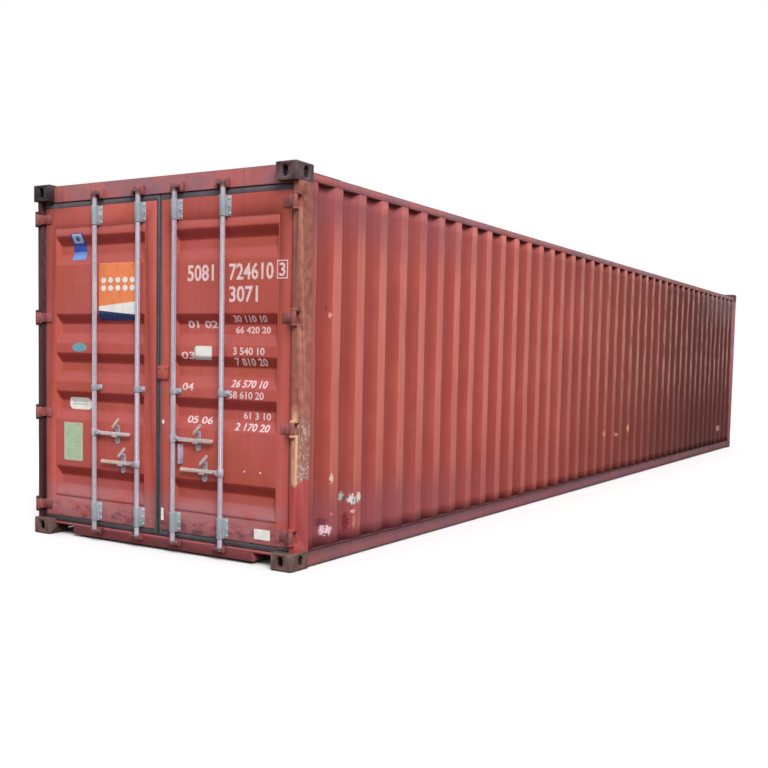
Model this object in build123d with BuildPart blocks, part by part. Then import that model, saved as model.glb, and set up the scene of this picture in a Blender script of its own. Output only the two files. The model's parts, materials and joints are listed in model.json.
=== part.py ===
"""Forty-foot dry freight container, 8 ft 6 in high, with its two end doors and locking gear.

Lengths are in millimetres. X runs along the container with the doors at -X, Y across it, Z up.
The origin is on the ground under the middle of the container. "Depth" is measured from the plane of
the door-end corner fittings into the container, and "out" from the centre line to either side.
Left and right are as seen by someone who faces the doors, so left is +Y.
"""

import math
import os

from build123d import *

os.makedirs("parts", exist_ok=True)

# Overall size
length = 12192
width = 2438
height = 2591

# Corner fittings
fitting_length = 178
fitting_width = 162
fitting_height = 118
fitting_seat_wall = 28
fitting_wall = 20
fitting_round = 10
slot_length = 124
slot_width = 63.5
slot_from_end = 103.5
slot_from_side = 89.5
hole_height = 79.5
hole_width = 51

# Levels of the base and the roof
base_rise = 13
floor_top = 167.5
floor_thickness = 28
roof_drop = 6

# Bottom side rails
rail_height = 162
rail_low_flange = 48
rail_top_flange = 42
rail_sheet = 4.5
rail_inset = 3

# Cross members and gooseneck tunnel
member_flange = 45
member_sheet = 4
member_pitch = 300
member_first = 250
tunnel_length = 3315
tunnel_width = 1029
tunnel_rise = 116
tunnel_sheet = 4
tunnel_beam_flange = 60

# Top side rails and the front frame
top_rail = 60
top_rail_sheet = 3
front_header_depth = 60
front_sill_depth = 70
front_sheet = 4
front_post_side = 178
front_post_lip = 36
front_post_inset = 3
post_sheet = 6

# Side walls, front wall and roof sheets
side_sheet = 2
side_depth = 36
side_recesses = 42
side_end_flat = 48
side_inner_flat = 70
side_slope = 68
side_inset = 5
front_depth = 45
front_recesses = 8
front_inner_flat = 104
front_slope = 20
front_end_flat = 70
roof_sheet = 2
roof_depth = 20
roof_pitch = 209
roof_trough_top = 118
roof_trough_floor = 91
roof_margin = 45
roof_trough_end = 40
corner_plate_length = 300
corner_plate_width = 260
corner_plate_sheet = 3

# Door frame of the container
post_depth = 36
post_width = 47
post_inner_wall = 12
post_round = 10
frame_face = 58
frame_sheet = 4
header_drop = 126
header_soffit = 8
stop_lip = 18
rebate_depth = 62
sill_top = 97
sill_under = 20
cutout_width = 200
cutout_top = 80

# Door leaves
leaf_gap = 56
leaf_side_gap = 24
leaf_under = 143
leaf_over = 43
leaf_depth = 50
leaf_sheet = 3.2
stile = 100
leaf_rail = 150
panel_sheet = 2
recess_depth = 36
recess_height = 214
recess_floor = 62
recess_margin = 6
recess_end_slope = 26
recess_shares = (0.0632, 0.3451, 0.4881, 0.6316, 0.9186)

# Door gaskets
gasket_centre_gap = 8
gasket_clear = 5
gasket_drop = 7
gasket_depth = 38
gasket_lip = 8
gasket_web = 12

# Hinges
hinge_from_end = 77.5
hinge_shares = (0.339, 0.648)
pin_depth = 20
pin_inset = 22
pin_radius = 12
pin_clear = 0.5
pin_head = 4
knuckle_radius = 17
knuckle_height = 76
lug_height = 14
lug_clear = 1
blade_sheet = 9
blade_height = 66
blade_step = 35.5
blade_reach = 112
notch_out = 1187
notch_depth = 30

# Locking bars
bar_outs = (600, 171)
bar_radius = 17
bar_wall = 3.5
bar_depth = 28
bar_under = 62
bar_over = 47
cam_height = 24
cam_round = 19
cam_nose = 11
cam_reach = 38
keeper_clear = 8
keeper_ear = 8
keeper_plate = 5
keeper_reach = 38
keeper_drop = 6
keeper_rise = 18

# Bar guides
guide_from_end = 74.5
guide_mid_share = 0.4287
guide_plate_height = 136
guide_plate_near = 24
guide_plate_far = 48
guide_plate_sheet = 4
guide_block = 46
guide_block_height = 40
guide_mid_plate = 40
guide_mid_block = 24
guide_front = 5
guide_clear = 0.5

# Handles, their retainers and the catches
handle_heights = (794, 590)
handle_stands = (207, 163)
handle_length = 360
handle_sheet = 10
handle_height = 25
handle_eye = 13
hub_radius = 22
hub_height = 52
hub_arm = 42
hub_ear = 6
hub_ear_clear = 2
hub_pin = 6
hub_pin_clear = 0.5
retainer_width = 46
retainer_plate = 5
retainer_low = 54
retainer_high = 62
shelf_width = 40
shelf_sheet = 8
shelf_front = 15
shelf_clear = 1.5
seal_hole = 5
catch_rise = 50
catch_boss = 9
catch_pin = 5
catch_pin_clear = 0.5
catch_eye = 11
catch_length = 74
catch_width = 22
catch_sheet = 5
catch_front = 10
catch_gap = 1
catch_angle = 135

# Plates on the right door's centre stile
block_height = 94
block_width = 96
block_sheet = 12
block_centre = 1242
guard_low = 622
guard_high = 757
guard_out = 212
guard_stand = 26
guard_width = 26
guard_sheet = 6

half_width = width / 2
fitting_in = half_width - fitting_width
door_end = -length / 2
front_end = length / 2
member_under = base_rise + rail_sheet
floor_under = floor_top - floor_thickness
rail_top = base_rise + rail_height
roof_top = height - roof_drop
post_under = fitting_height
post_top = height - fitting_height
post_in = half_width - post_width
header_under = height - header_drop
opening_top = header_under - stop_lip
leaf_near = leaf_gap / 2
leaf_far = post_in - leaf_side_gap
leaf_top = header_under - leaf_over
leaf_height = leaf_top - leaf_under
bar_top = header_under + bar_over
hinge_heights = (
    leaf_under + hinge_from_end,
    leaf_under + hinge_shares[0] * leaf_height,
    leaf_under + hinge_shares[1] * leaf_height,
    leaf_top - hinge_from_end,
)
guide_heights = (leaf_under + guide_from_end, leaf_top - guide_from_end)
guide_mid_height = leaf_under + guide_mid_share * leaf_height
pin_out = half_width - pin_inset
side_face = half_width - side_inset
rail_face = half_width - rail_inset
sides = (("left", 1), ("right", -1))


def block(x, y, z, mode=Mode.ADD):
    """Square-edged piece between two places on each axis."""
    with BuildSketch(Plane.XY.offset(min(z))) as base:
        with Locations(((x[0] + x[1]) / 2, (y[0] + y[1]) / 2)):
            Rectangle(abs(x[1] - x[0]), abs(y[1] - y[0]))
    extrude(base.sketch, amount=abs(z[1] - z[0]), mode=mode)


def plate(outline, base, reach, mode=Mode.ADD):
    """Straight piece of a many-sided outline, drawn on a plane."""
    with BuildSketch(base) as face:
        with BuildLine():
            Polyline(*outline, close=True)
        make_face()
    extrude(face.sketch, amount=reach, mode=mode)


def rod(centre, axis, radius, reach, mode=Mode.ADD):
    """Round piece from a centre along an axis."""
    with BuildSketch(Plane(origin=centre, z_dir=axis)) as face:
        Circle(radius)
    extrude(face.sketch, amount=reach, mode=mode)


def folded(path, thickness):
    """Outline of a sheet that is folded along a path, with its thickness to the left of it."""
    turns = []
    for i, (x, y) in enumerate(path):
        normals = []
        for a, b in ((i - 1, i), (i, i + 1)):
            if a >= 0 and b < len(path):
                dx = path[b][0] - path[a][0]
                dy = path[b][1] - path[a][1]
                run = math.hypot(dx, dy)
                normals.append((-dy / run, dx / run))
        first, last = normals[0], normals[-1]
        share = thickness / (1 + first[0] * last[0] + first[1] * last[1])
        turns.append((x + (first[0] + last[0]) * share, y + (first[1] + last[1]) * share))
    return path + turns[::-1]


def keep(name, piece):
    """Name a finished piece and write it."""
    piece.part.label = name
    export_step(piece.part, f"parts/{name}.step")


# Corner fittings: one casting with its outer corner at the origin, then the two sets of four
with BuildPart() as casting:
    block((0, fitting_length), (0, fitting_width), (0, fitting_height))
    outer_edges = (
        casting.edges().filter_by(Axis.Z).sort_by(Axis.X)[:2].sort_by(Axis.Y)[:1]
        + casting.edges().filter_by(Axis.Y).sort_by(Axis.X)[:2].sort_by(Axis.Z)[:1]
        + casting.edges().filter_by(Axis.X).sort_by(Axis.Y)[:2].sort_by(Axis.Z)[:1]
    )
    fillet(outer_edges, fitting_round)
    block(
        (fitting_wall, fitting_length - fitting_wall),
        (fitting_wall, fitting_width - fitting_wall),
        (fitting_seat_wall, fitting_height - fitting_wall),
        Mode.SUBTRACT,
    )
    with BuildSketch(Plane.XY) as seat_slot:
        with Locations((slot_from_end, slot_from_side)):
            SlotOverall(slot_length, slot_width)
    extrude(seat_slot.sketch, amount=fitting_seat_wall + 1, mode=Mode.SUBTRACT)
    with BuildSketch(Plane.YZ) as end_slot:
        with Locations((slot_from_side, fitting_height / 2)):
            SlotOverall(hole_height, hole_width, rotation=90)
    extrude(end_slot.sketch, amount=fitting_wall + 1, mode=Mode.SUBTRACT)
    with BuildSketch(Plane.XZ) as side_slot:
        with Locations((slot_from_end, fitting_height / 2)):
            SlotOverall(hole_height, hole_width, rotation=90)
    extrude(side_slot.sketch, amount=-fitting_wall - 1, mode=Mode.SUBTRACT)

with BuildPart() as bottom_corner_fittings:
    with Locations((door_end, -half_width, 0)):
        add(casting.part)
    mirror(about=Plane.XZ)
    mirror(about=Plane.YZ)
keep("bottom_corner_fittings", bottom_corner_fittings)

with BuildPart() as top_corner_fittings:
    with Locations(Location((door_end, half_width, height), (180, 0, 0))):
        add(casting.part)
    mirror(about=Plane.XZ)
    mirror(about=Plane.YZ)
keep("top_corner_fittings", top_corner_fittings)

# Bottom side rails: channels that open inwards, between the corner fittings
rail_path = [
    (rail_face - rail_low_flange, base_rise),
    (rail_face, base_rise),
    (rail_face, rail_top),
    (rail_face - rail_top_flange, rail_top),
]
for side_name, side in sides:
    with BuildPart() as bottom_side_rail:
        plate(
            [(side * y, z) for y, z in folded(rail_path, rail_sheet)],
            Plane.YZ.offset(door_end + fitting_length),
            length - 2 * fitting_length,
        )
    keep(f"bottom_side_rail_{side_name}", bottom_side_rail)

# Top side rails: square tubes under the edge of the roof
for side_name, side in sides:
    with BuildPart() as top_side_rail:
        run = (door_end + fitting_length, front_end - fitting_length)
        outer = (side * rail_face, side * (rail_face - top_rail))
        inner = (side * (rail_face - top_rail_sheet), side * (rail_face - top_rail + top_rail_sheet))
        block(run, outer, (roof_top - top_rail, roof_top))
        block(
            run,
            inner,
            (roof_top - top_rail + top_rail_sheet, roof_top - top_rail_sheet),
            Mode.SUBTRACT,
        )
    keep(f"top_side_rail_{side_name}", top_side_rail)


# Corrugated sheets, seen from above: outer flats with recesses towards the inside of the container
def corrugation(run, count, end_flat, inner_flat, slope, depth):
    """Path of a sheet along its run, and how far it stands back from its outer face."""
    recess = inner_flat + 2 * slope
    ridge = (run - 2 * end_flat - count * recess) / (count - 1)
    pitch = recess + ridge
    path = [(0, 0)]
    for i in range(count):
        start = end_flat + i * pitch
        path += [
            (start, 0),
            (start + slope, depth),
            (start + slope + inner_flat, depth),
            (start + 2 * slope + inner_flat, 0),
        ]
    return path + [(run, 0)]


side_run = length - 2 * fitting_length
side_path = corrugation(
    side_run, side_recesses, side_end_flat, side_inner_flat, side_slope, side_depth
)
for side_name, side in sides:
    with BuildPart() as side_wall:
        outline = folded(side_path, side_sheet)
        plate(
            [(door_end + fitting_length + x, side * (side_face - back)) for x, back in outline],
            Plane.XY.offset(rail_top),
            roof_top - top_rail - rail_top,
        )
    keep(f"side_wall_{side_name}", side_wall)

# Door-end corner posts: closed sections with hinge lugs and pins, notched for the hinge necks
notch_height = knuckle_height + 2 * lug_clear
for side_name, side in sides:
    with BuildPart() as rear_post:
        block(
            (door_end + post_depth, door_end + fitting_length),
            (side * post_in, side * half_width),
            (post_under, post_top),
        )
        front_edge = rear_post.edges().filter_by(Axis.Z).sort_by(Axis.X)[:2]
        fillet(front_edge.sort_by(Axis.Y)[-1 if side > 0 else 0], post_round)
        block(
            (door_end + post_depth + post_sheet, door_end + fitting_length - post_sheet),
            (side * (post_in + post_inner_wall), side * (half_width - post_sheet)),
            (post_under, post_top),
            Mode.SUBTRACT,
        )
        for z in hinge_heights:
            block(
                (door_end + post_depth - 1, door_end + post_depth + notch_depth),
                (side * notch_out, side * (half_width + 1)),
                (z - notch_height / 2, z + notch_height / 2),
                Mode.SUBTRACT,
            )
            block(
                (door_end + post_depth + notch_depth, door_end + post_depth + notch_depth + post_sheet),
                (side * post_in, side * half_width),
                (z - notch_height / 2 - lug_height, z + notch_height / 2 + lug_height),
            )
            block(
                (door_end + post_depth, door_end + post_depth + notch_depth),
                (side * (notch_out - post_sheet), side * notch_out),
                (z - notch_height / 2 - lug_height, z + notch_height / 2 + lug_height),
            )
            for level in (z - notch_height / 2 - lug_height, z + notch_height / 2):
                block(
                    (door_end + pin_depth, door_end + post_depth + notch_depth),
                    (side * (pin_out - knuckle_radius), side * (pin_out + knuckle_radius)),
                    (level, level + lug_height),
                )
                rod((door_end + pin_depth, side * pin_out, level), (0, 0, 1), knuckle_radius, lug_height)
            pin_reach = notch_height + 2 * lug_height + 2 * pin_head
            rod(
                (door_end + pin_depth, side * pin_out, z - pin_reach / 2),
                (0, 0, 1),
                pin_radius,
                pin_reach,
            )
    keep(f"rear_post_{side_name}", rear_post)

# Door header: a box between the top fittings over a soffit, with the stop lip behind the doors
rebate = frame_face + rebate_depth
with BuildPart() as door_header:
    block(
        (door_end + frame_face, door_end + fitting_length),
        (-fitting_in, fitting_in),
        (post_top, roof_top),
    )
    block(
        (door_end + frame_face + frame_sheet, door_end + fitting_length - frame_sheet),
        (-fitting_in, fitting_in),
        (post_top, roof_top - frame_sheet),
        Mode.SUBTRACT,
    )
    block(
        (door_end + frame_face, door_end + fitting_length),
        (-post_in, post_in),
        (header_under, header_under + header_soffit),
    )
    block(
        (door_end + rebate, door_end + fitting_length),
        (-post_in, post_in),
        (opening_top, header_under),
    )
keep("door_header", door_header)

# Door sill: a box between the bottom fittings, cut away at both ends, with the raised threshold
with BuildPart() as door_sill:
    cut_out = fitting_in - cutout_width
    block(
        (door_end + frame_face, door_end + fitting_length),
        (-fitting_in, fitting_in),
        (sill_under, sill_top),
    )
    block(
        (door_end + rebate, door_end + fitting_length),
        (-fitting_in, fitting_in),
        (sill_top, fitting_height),
    )
    block(
        (door_end + rebate, door_end + fitting_length),
        (-post_in, post_in),
        (fitting_height, floor_top),
    )
    block(
        (door_end + frame_face + frame_sheet, door_end + fitting_length - frame_sheet),
        (-cut_out + frame_sheet, cut_out - frame_sheet),
        (sill_under, sill_top - frame_sheet),
        Mode.SUBTRACT,
    )
    block(
        (door_end + rebate + frame_sheet, door_end + fitting_length - frame_sheet),
        (-cut_out + frame_sheet, cut_out - frame_sheet),
        (sill_top - frame_sheet, floor_top - frame_sheet),
        Mode.SUBTRACT,
    )
    for side in (-1, 1):
        block(
            (door_end + frame_face - 1, door_end + fitting_length + 1),
            (side * cut_out, side * (fitting_in + 1)),
            (sill_under - 1, cutout_top),
            Mode.SUBTRACT,
        )
keep("door_sill", door_sill)

# Front corner posts: pressed sections that wrap the corner and return to both walls
front_in = half_width - front_post_inset
front_out = front_end - front_post_inset
for side_name, side in sides:
    with BuildPart() as front_post:
        post_path = [
            (front_end - front_post_side, front_in - front_post_lip),
            (front_end - front_post_side, front_in),
            (front_out, front_in),
            (front_out, fitting_in),
            (front_out - front_post_lip, fitting_in),
        ]
        outline = folded([(x, -y) for x, y in post_path], post_sheet)
        plate(
            [(x, -side * y) for x, y in outline],
            Plane.XY.offset(post_under),
            post_top - post_under,
        )
    keep(f"front_post_{side_name}", front_post)

# Front wall between the front posts, corrugated up and down
with BuildPart() as front_wall:
    path = corrugation(
        2 * fitting_in,
        front_recesses,
        front_end_flat,
        front_inner_flat,
        front_slope,
        front_depth,
    )
    outline = folded(path, side_sheet)
    plate(
        [(front_out - side_sheet - back, -fitting_in + run) for run, back in outline],
        Plane.XY.offset(floor_under),
        roof_top - top_rail - floor_under,
    )
keep("front_wall", front_wall)

# Front header and front sill, between the front fittings
with BuildPart() as front_header:
    run = (front_out - front_header_depth, front_out)
    block(run, (-fitting_in, fitting_in), (roof_top - top_rail, roof_top))
    block(
        (run[0] + top_rail_sheet, run[1] - top_rail_sheet),
        (-fitting_in, fitting_in),
        (roof_top - top_rail + top_rail_sheet, roof_top - top_rail_sheet),
        Mode.SUBTRACT,
    )
keep("front_header", front_header)

tunnel_out = tunnel_width / 2
with BuildPart() as front_sill:
    run = (front_out - front_sill_depth, front_out)
    block(run, (-fitting_in, fitting_in), (base_rise, floor_under))
    block(
        (run[0] + front_sheet, run[1] - front_sheet),
        (-fitting_in, fitting_in),
        (base_rise + front_sheet, floor_under - front_sheet),
        Mode.SUBTRACT,
    )
    for side in (-1, 1):
        block(
            run,
            (side * tunnel_out, side * (tunnel_out + front_sheet)),
            (base_rise, floor_under),
        )
    block(
        (run[0] - 1, run[1] + 1),
        (-tunnel_out, tunnel_out),
        (base_rise - 1, tunnel_rise),
        Mode.SUBTRACT,
    )
    block(run, (-tunnel_out, tunnel_out), (tunnel_rise, tunnel_rise + front_sheet))
keep("front_sill", front_sill)

# Gooseneck tunnel: the roof plate and the two side beams behind the front sill
tunnel_end = front_out - front_sill_depth
tunnel_start = tunnel_end - tunnel_length
with BuildPart() as gooseneck_tunnel:
    block(
        (tunnel_start, tunnel_end),
        (-tunnel_out, tunnel_out),
        (tunnel_rise, tunnel_rise + tunnel_sheet),
    )
    for side in (-1, 1):
        beam_path = [
            (tunnel_out + tunnel_beam_flange, member_under),
            (tunnel_out, member_under),
            (tunnel_out, floor_under),
            (tunnel_out + tunnel_beam_flange, floor_under),
        ]
        outline = [(side * y, z) for y, z in folded([(-y, z) for y, z in beam_path], tunnel_sheet)]
        plate(outline, Plane.YZ.offset(tunnel_start), tunnel_length)
keep("gooseneck_tunnel", gooseneck_tunnel)

# Cross members: channels between the side rails, and short ones beside the tunnel
member_out = rail_face - rail_sheet
member_start = door_end + fitting_length
member_count = int((tunnel_start - member_start) / member_pitch)
outrigger_count = int((tunnel_length - member_flange) / member_pitch)
member_path = [
    (member_flange, member_under),
    (0, member_under),
    (0, floor_under),
    (member_flange, floor_under),
]
member_outline = folded([(-x, z) for x, z in member_path], member_sheet)
with BuildPart() as cross_members:
    for i in range(member_count):
        at = member_start + member_first + i * (tunnel_start - member_start - member_first) / member_count
        plate(
            [(at - x, z) for x, z in member_outline],
            Plane.XZ.offset(-member_out),
            2 * member_out,
        )
    for i in range(1, outrigger_count + 1):
        at = tunnel_start + i * tunnel_length / (outrigger_count + 1)
        for side in (-1, 1):
            start = tunnel_out + tunnel_beam_flange
            plate(
                [(at - x, z) for x, z in member_outline],
                Plane.XZ.offset(-side * start),
                -side * (member_out - start),
            )
        block(
            (at, at + member_flange),
            (-tunnel_out, tunnel_out),
            (tunnel_rise + tunnel_sheet, floor_under),
        )
keep("cross_members", cross_members)

# Floor: boards between the sills, laid on the cross members
with BuildPart() as floor_boards:
    floor_out = side_face - side_depth - side_sheet
    block(
        (door_end + fitting_length, front_out - front_depth - 2 * side_sheet),
        (-floor_out, floor_out),
        (floor_under, floor_top),
    )
keep("floor_boards", floor_boards)

# Roof sheet: shallow troughs across the container, closed before they reach the side rails
roof_out = rail_face - top_rail
roof_start = door_end + fitting_length
roof_end = front_out - front_header_depth
roof_run = roof_end - roof_start
trough_count = int((roof_run - roof_pitch) / roof_pitch)
with BuildPart() as trough:
    with BuildSketch(Plane.XY.offset(roof_top)):
        Rectangle(roof_trough_top, 2 * (roof_out - roof_margin))
    with BuildSketch(Plane.XY.offset(roof_top - roof_depth)):
        Rectangle(roof_trough_floor, 2 * (roof_out - roof_margin - roof_trough_end))
    loft(ruled=True)
trough_places = [
    ((roof_start + roof_end) / 2 + (i - (trough_count - 1) / 2) * roof_pitch, 0)
    for i in range(trough_count)
]
with BuildPart() as roof_panel:
    block((roof_start, roof_end), (-roof_out, roof_out), (roof_top - roof_sheet, roof_top))
    with Locations(*[(x, y, -roof_sheet) for x, y in trough_places]):
        add(trough.part)
    with Locations(*[(x, y, 0) for x, y in trough_places]):
        add(trough.part, mode=Mode.SUBTRACT)
    for side in (-1, 1):
        block(
            (front_end - fitting_length, roof_end),
            (side * fitting_in, side * roof_out),
            (roof_top - roof_sheet, roof_top),
            Mode.SUBTRACT,
        )
keep("roof_panel", roof_panel)

# Guard plates on the roof beside the top fittings
with BuildPart() as roof_corner_plates:
    for end in (-1, 1):
        for side in (-1, 1):
            start = end * (front_end - fitting_length)
            block(
                (start, start - end * corner_plate_length),
                (side * rail_face, side * (rail_face - corner_plate_width)),
                (roof_top, roof_top + corner_plate_sheet),
            )
keep("roof_corner_plates", roof_corner_plates)


# One door's own pieces. The leaf is a welded tube frame with a pressed panel between its members
def ring(side, level, near, far, low, high, hole, depth):
    """Rectangular frame around the leaf, from one depth to another."""
    block(
        (door_end + level, door_end + level + depth),
        (side * near, side * far),
        (low, high),
    )
    block(
        (door_end + level, door_end + level + depth),
        (side * hole[0], side * hole[1]),
        (hole[2], hole[3]),
        Mode.SUBTRACT,
    )


panel_near = leaf_near + stile
panel_far = leaf_far - stile
panel_under = leaf_under + leaf_rail
panel_top = leaf_top - leaf_rail
recess_heights = [panel_under + share * (panel_top - panel_under) for share in recess_shares]
recess_out = (panel_near + panel_far) / 2
recess_width = panel_far - panel_near - 2 * recess_margin
with BuildPart() as recess:
    with BuildSketch(Plane.YZ):
        Rectangle(recess_width, recess_height)
    with BuildSketch(Plane.YZ.offset(recess_depth - panel_sheet)):
        Rectangle(recess_width - 2 * recess_end_slope, recess_floor)
    loft(ruled=True)

gasket_hole = (leaf_near, leaf_far, leaf_under, leaf_top)
for side_name, side in sides:
    with BuildPart() as door_frame:
        ring(
            side,
            frame_face,
            leaf_near,
            leaf_far,
            leaf_under,
            leaf_top,
            (panel_near, panel_far, panel_under, panel_top),
            leaf_depth,
        )
        inside = (door_end + frame_face + leaf_sheet, door_end + frame_face + leaf_depth - leaf_sheet)
        for near in (leaf_near, panel_far):
            block(
                inside,
                (side * (near + leaf_sheet), side * (near + stile - leaf_sheet)),
                (leaf_under + leaf_sheet, leaf_top - leaf_sheet),
                Mode.SUBTRACT,
            )
        for low in (leaf_under, panel_top):
            block(
                inside,
                (side * panel_near, side * panel_far),
                (low + leaf_sheet, low + leaf_rail - leaf_sheet),
                Mode.SUBTRACT,
            )
    keep(f"{side_name}_door_frame", door_frame)

    with BuildPart() as door_panel:
        block(
            (door_end + frame_face, door_end + frame_face + panel_sheet),
            (side * panel_near, side * panel_far),
            (panel_under, panel_top),
        )
        with Locations(
            *[(door_end + frame_face + panel_sheet, side * recess_out, z) for z in recess_heights]
        ):
            add(recess.part)
        with Locations(*[(door_end + frame_face, side * recess_out, z) for z in recess_heights]):
            add(recess.part, mode=Mode.SUBTRACT)
    keep(f"{side_name}_door_panel", door_panel)

    with BuildPart() as door_gasket:
        near = gasket_centre_gap / 2
        far = post_in - gasket_clear
        low = sill_top + gasket_clear
        high = header_under - gasket_clear
        start = frame_face + gasket_drop
        ring(side, start, near, far, low, high, gasket_hole, gasket_lip)
        ring(
            side,
            start + gasket_lip,
            leaf_near - gasket_web,
            leaf_far + gasket_web,
            leaf_under - gasket_web,
            leaf_top + gasket_web,
            gasket_hole,
            gasket_depth - 2 * gasket_lip,
        )
        ring(side, start + gasket_depth - gasket_lip, near, far, low, high, gasket_hole, gasket_lip)
        block(
            (door_end + start, door_end + start + gasket_depth),
            (side * (fitting_in - gasket_clear), side * far),
            (low, fitting_height + gasket_clear),
            Mode.SUBTRACT,
        )
    keep(f"{side_name}_door_gasket", door_gasket)

    # Hinge blades: a knuckle on the pin, a neck that steps round the post, a plate on the leaf
    with BuildPart() as door_hinges:
        step_out = -blade_step + blade_sheet / 2
        blade_outline = [
            (0, -blade_sheet / 2),
            (-blade_step - blade_sheet / 2, -blade_sheet / 2),
            (-blade_step - blade_sheet / 2, frame_face - pin_depth - blade_sheet),
            (-blade_reach, frame_face - pin_depth - blade_sheet),
            (-blade_reach, frame_face - pin_depth),
            (step_out, frame_face - pin_depth),
            (step_out, blade_sheet / 2),
            (0, blade_sheet / 2),
        ]
        for z in hinge_heights:
            plate(
                [(door_end + pin_depth + d, side * (pin_out + u)) for u, d in blade_outline],
                Plane.XY.offset(z - blade_height / 2),
                blade_height,
            )
            centre = (door_end + pin_depth, side * pin_out, z - knuckle_height / 2)
            rod(centre, (0, 0, 1), knuckle_radius, knuckle_height)
            rod(centre, (0, 0, 1), pin_radius + pin_clear, knuckle_height, Mode.SUBTRACT)
    keep(f"{side_name}_door_hinges", door_hinges)

    # Bar guides: base plates on the leaf, each with a bearing block round its bar
    with BuildPart() as bar_guides:
        for out in bar_outs:
            y = side * out
            for z in guide_heights:
                block(
                    (door_end + frame_face - guide_plate_sheet, door_end + frame_face),
                    (y + guide_plate_near, y - guide_plate_far),
                    (z - guide_plate_height / 2, z + guide_plate_height / 2),
                )
                block(
                    (door_end + guide_front, door_end + frame_face - guide_plate_sheet),
                    (y - guide_block / 2, y + guide_block / 2),
                    (z - guide_block_height / 2, z + guide_block_height / 2),
                )
            block(
                (door_end + frame_face - guide_plate_sheet, door_end + frame_face),
                (y + guide_plate_near, y - guide_plate_far),
                (guide_mid_height - guide_mid_plate / 2, guide_mid_height + guide_mid_plate / 2),
            )
            block(
                (door_end + guide_front, door_end + frame_face - guide_plate_sheet),
                (y - guide_block / 2, y + guide_block / 2),
                (guide_mid_height - guide_mid_block / 2, guide_mid_height + guide_mid_block / 2),
            )
            rod(
                (door_end + bar_depth, y, leaf_under),
                (0, 0, 1),
                bar_radius + guide_clear,
                leaf_top - leaf_under,
                Mode.SUBTRACT,
            )
    keep(f"{side_name}_bar_guides", bar_guides)

# The right door carries the plate beside the centre joint and the guard by its inner bar
with BuildPart() as centre_plate:
    block(
        (door_end + frame_face - block_sheet, door_end + frame_face),
        (-gasket_centre_gap / 2, -gasket_centre_gap / 2 - block_width),
        (block_centre - block_height / 2, block_centre + block_height / 2),
    )
keep("right_door_centre_plate", centre_plate)

# Locking gear. Handles on the outer left and inner right bars point right and are the upper ones
gear = (
    ("left_outer", 1, bar_outs[0], 0),
    ("left_inner", 1, bar_outs[1], 1),
    ("right_inner", -1, bar_outs[1], 0),
    ("right_outer", -1, bar_outs[0], 1),
)
for bar_name, side, out, row in gear:
    y = side * out
    reach = -1 if row == 0 else 1
    z = handle_heights[row]
    axis_x = door_end + bar_depth

    # Bar: a tube with a cam at each end and the forked hub of its handle
    with BuildPart() as locking_bar:
        rod((axis_x, y, bar_under), (0, 0, 1), bar_radius, bar_top - bar_under)
        rod(
            (axis_x, y, bar_under + cam_height),
            (0, 0, 1),
            bar_radius - bar_wall,
            bar_top - bar_under - 2 * cam_height,
            Mode.SUBTRACT,
        )
        for level in (bar_under, bar_top - cam_height):
            with BuildSketch(Plane.XY.offset(level)) as cam:
                with Locations((axis_x, y)):
                    Circle(cam_round)
                with Locations((axis_x, y + reach * cam_reach)):
                    Circle(cam_nose)
                make_hull()
            extrude(cam.sketch, amount=cam_height)
        with BuildSketch(Plane.XY.offset(z - hub_height / 2)) as collar:
            with Locations((axis_x, y)):
                Circle(hub_radius)
                Circle(bar_radius - bar_wall, mode=Mode.SUBTRACT)
        extrude(collar.sketch, amount=hub_height)
        for front in (-handle_sheet / 2 - hub_ear_clear - hub_ear, handle_sheet / 2 + hub_ear_clear):
            with BuildSketch(Plane.YZ.offset(axis_x + front)) as ear:
                with Locations((y + reach * hub_arm, z)):
                    Circle(handle_eye)
                with Locations((y + reach * (bar_radius - 2), z)):
                    Rectangle(2, hub_height - 4)
                make_hull()
            extrude(ear.sketch, amount=hub_ear)
        pin_run = handle_sheet + 2 * (hub_ear_clear + hub_ear)
        rod(
            (axis_x - pin_run / 2, y + reach * hub_arm, z),
            (1, 0, 0),
            hub_pin,
            pin_run,
        )
    keep(f"{bar_name}_locking_bar", locking_bar)

    # Handle: a flat bar from the eye at its hub to a rounded grip
    with BuildPart() as handle:
        with BuildSketch(Plane.YZ.offset(axis_x - handle_sheet / 2)) as flat:
            with Locations((y + reach * (hub_arm + handle_length - handle_height / 2) / 2, z)):
                Rectangle(handle_length - handle_height / 2 - hub_arm, handle_height)
            with Locations((y + reach * hub_arm, z)):
                Circle(handle_eye)
            with Locations((y + reach * (handle_length - handle_height / 2), z)):
                Circle(handle_height / 2)
            with Locations((y + reach * hub_arm, z)):
                Circle(hub_pin + hub_pin_clear, mode=Mode.SUBTRACT)
        extrude(flat.sketch, amount=handle_sheet)
    keep(f"{bar_name}_handle", handle)

    # Catch: a plate that hangs from its pin and swings down over the handle
    stand = y + reach * handle_stands[row]
    swing = math.radians(catch_angle)
    tip = (stand + catch_length * math.cos(swing), z + catch_rise + catch_length * math.sin(swing))
    with BuildPart() as catch:
        with BuildSketch(Plane.YZ.offset(door_end + catch_front)) as leafy:
            with Locations((stand, z + catch_rise)):
                Circle(catch_eye)
            with Locations(tip):
                Circle(catch_width / 2)
            make_hull()
            with Locations((stand, z + catch_rise)):
                Circle(catch_pin + catch_pin_clear, mode=Mode.SUBTRACT)
            with Locations(tip):
                Circle(seal_hole, mode=Mode.SUBTRACT)
        extrude(leafy.sketch, amount=catch_sheet)
    keep(f"{bar_name}_catch", catch)

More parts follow.
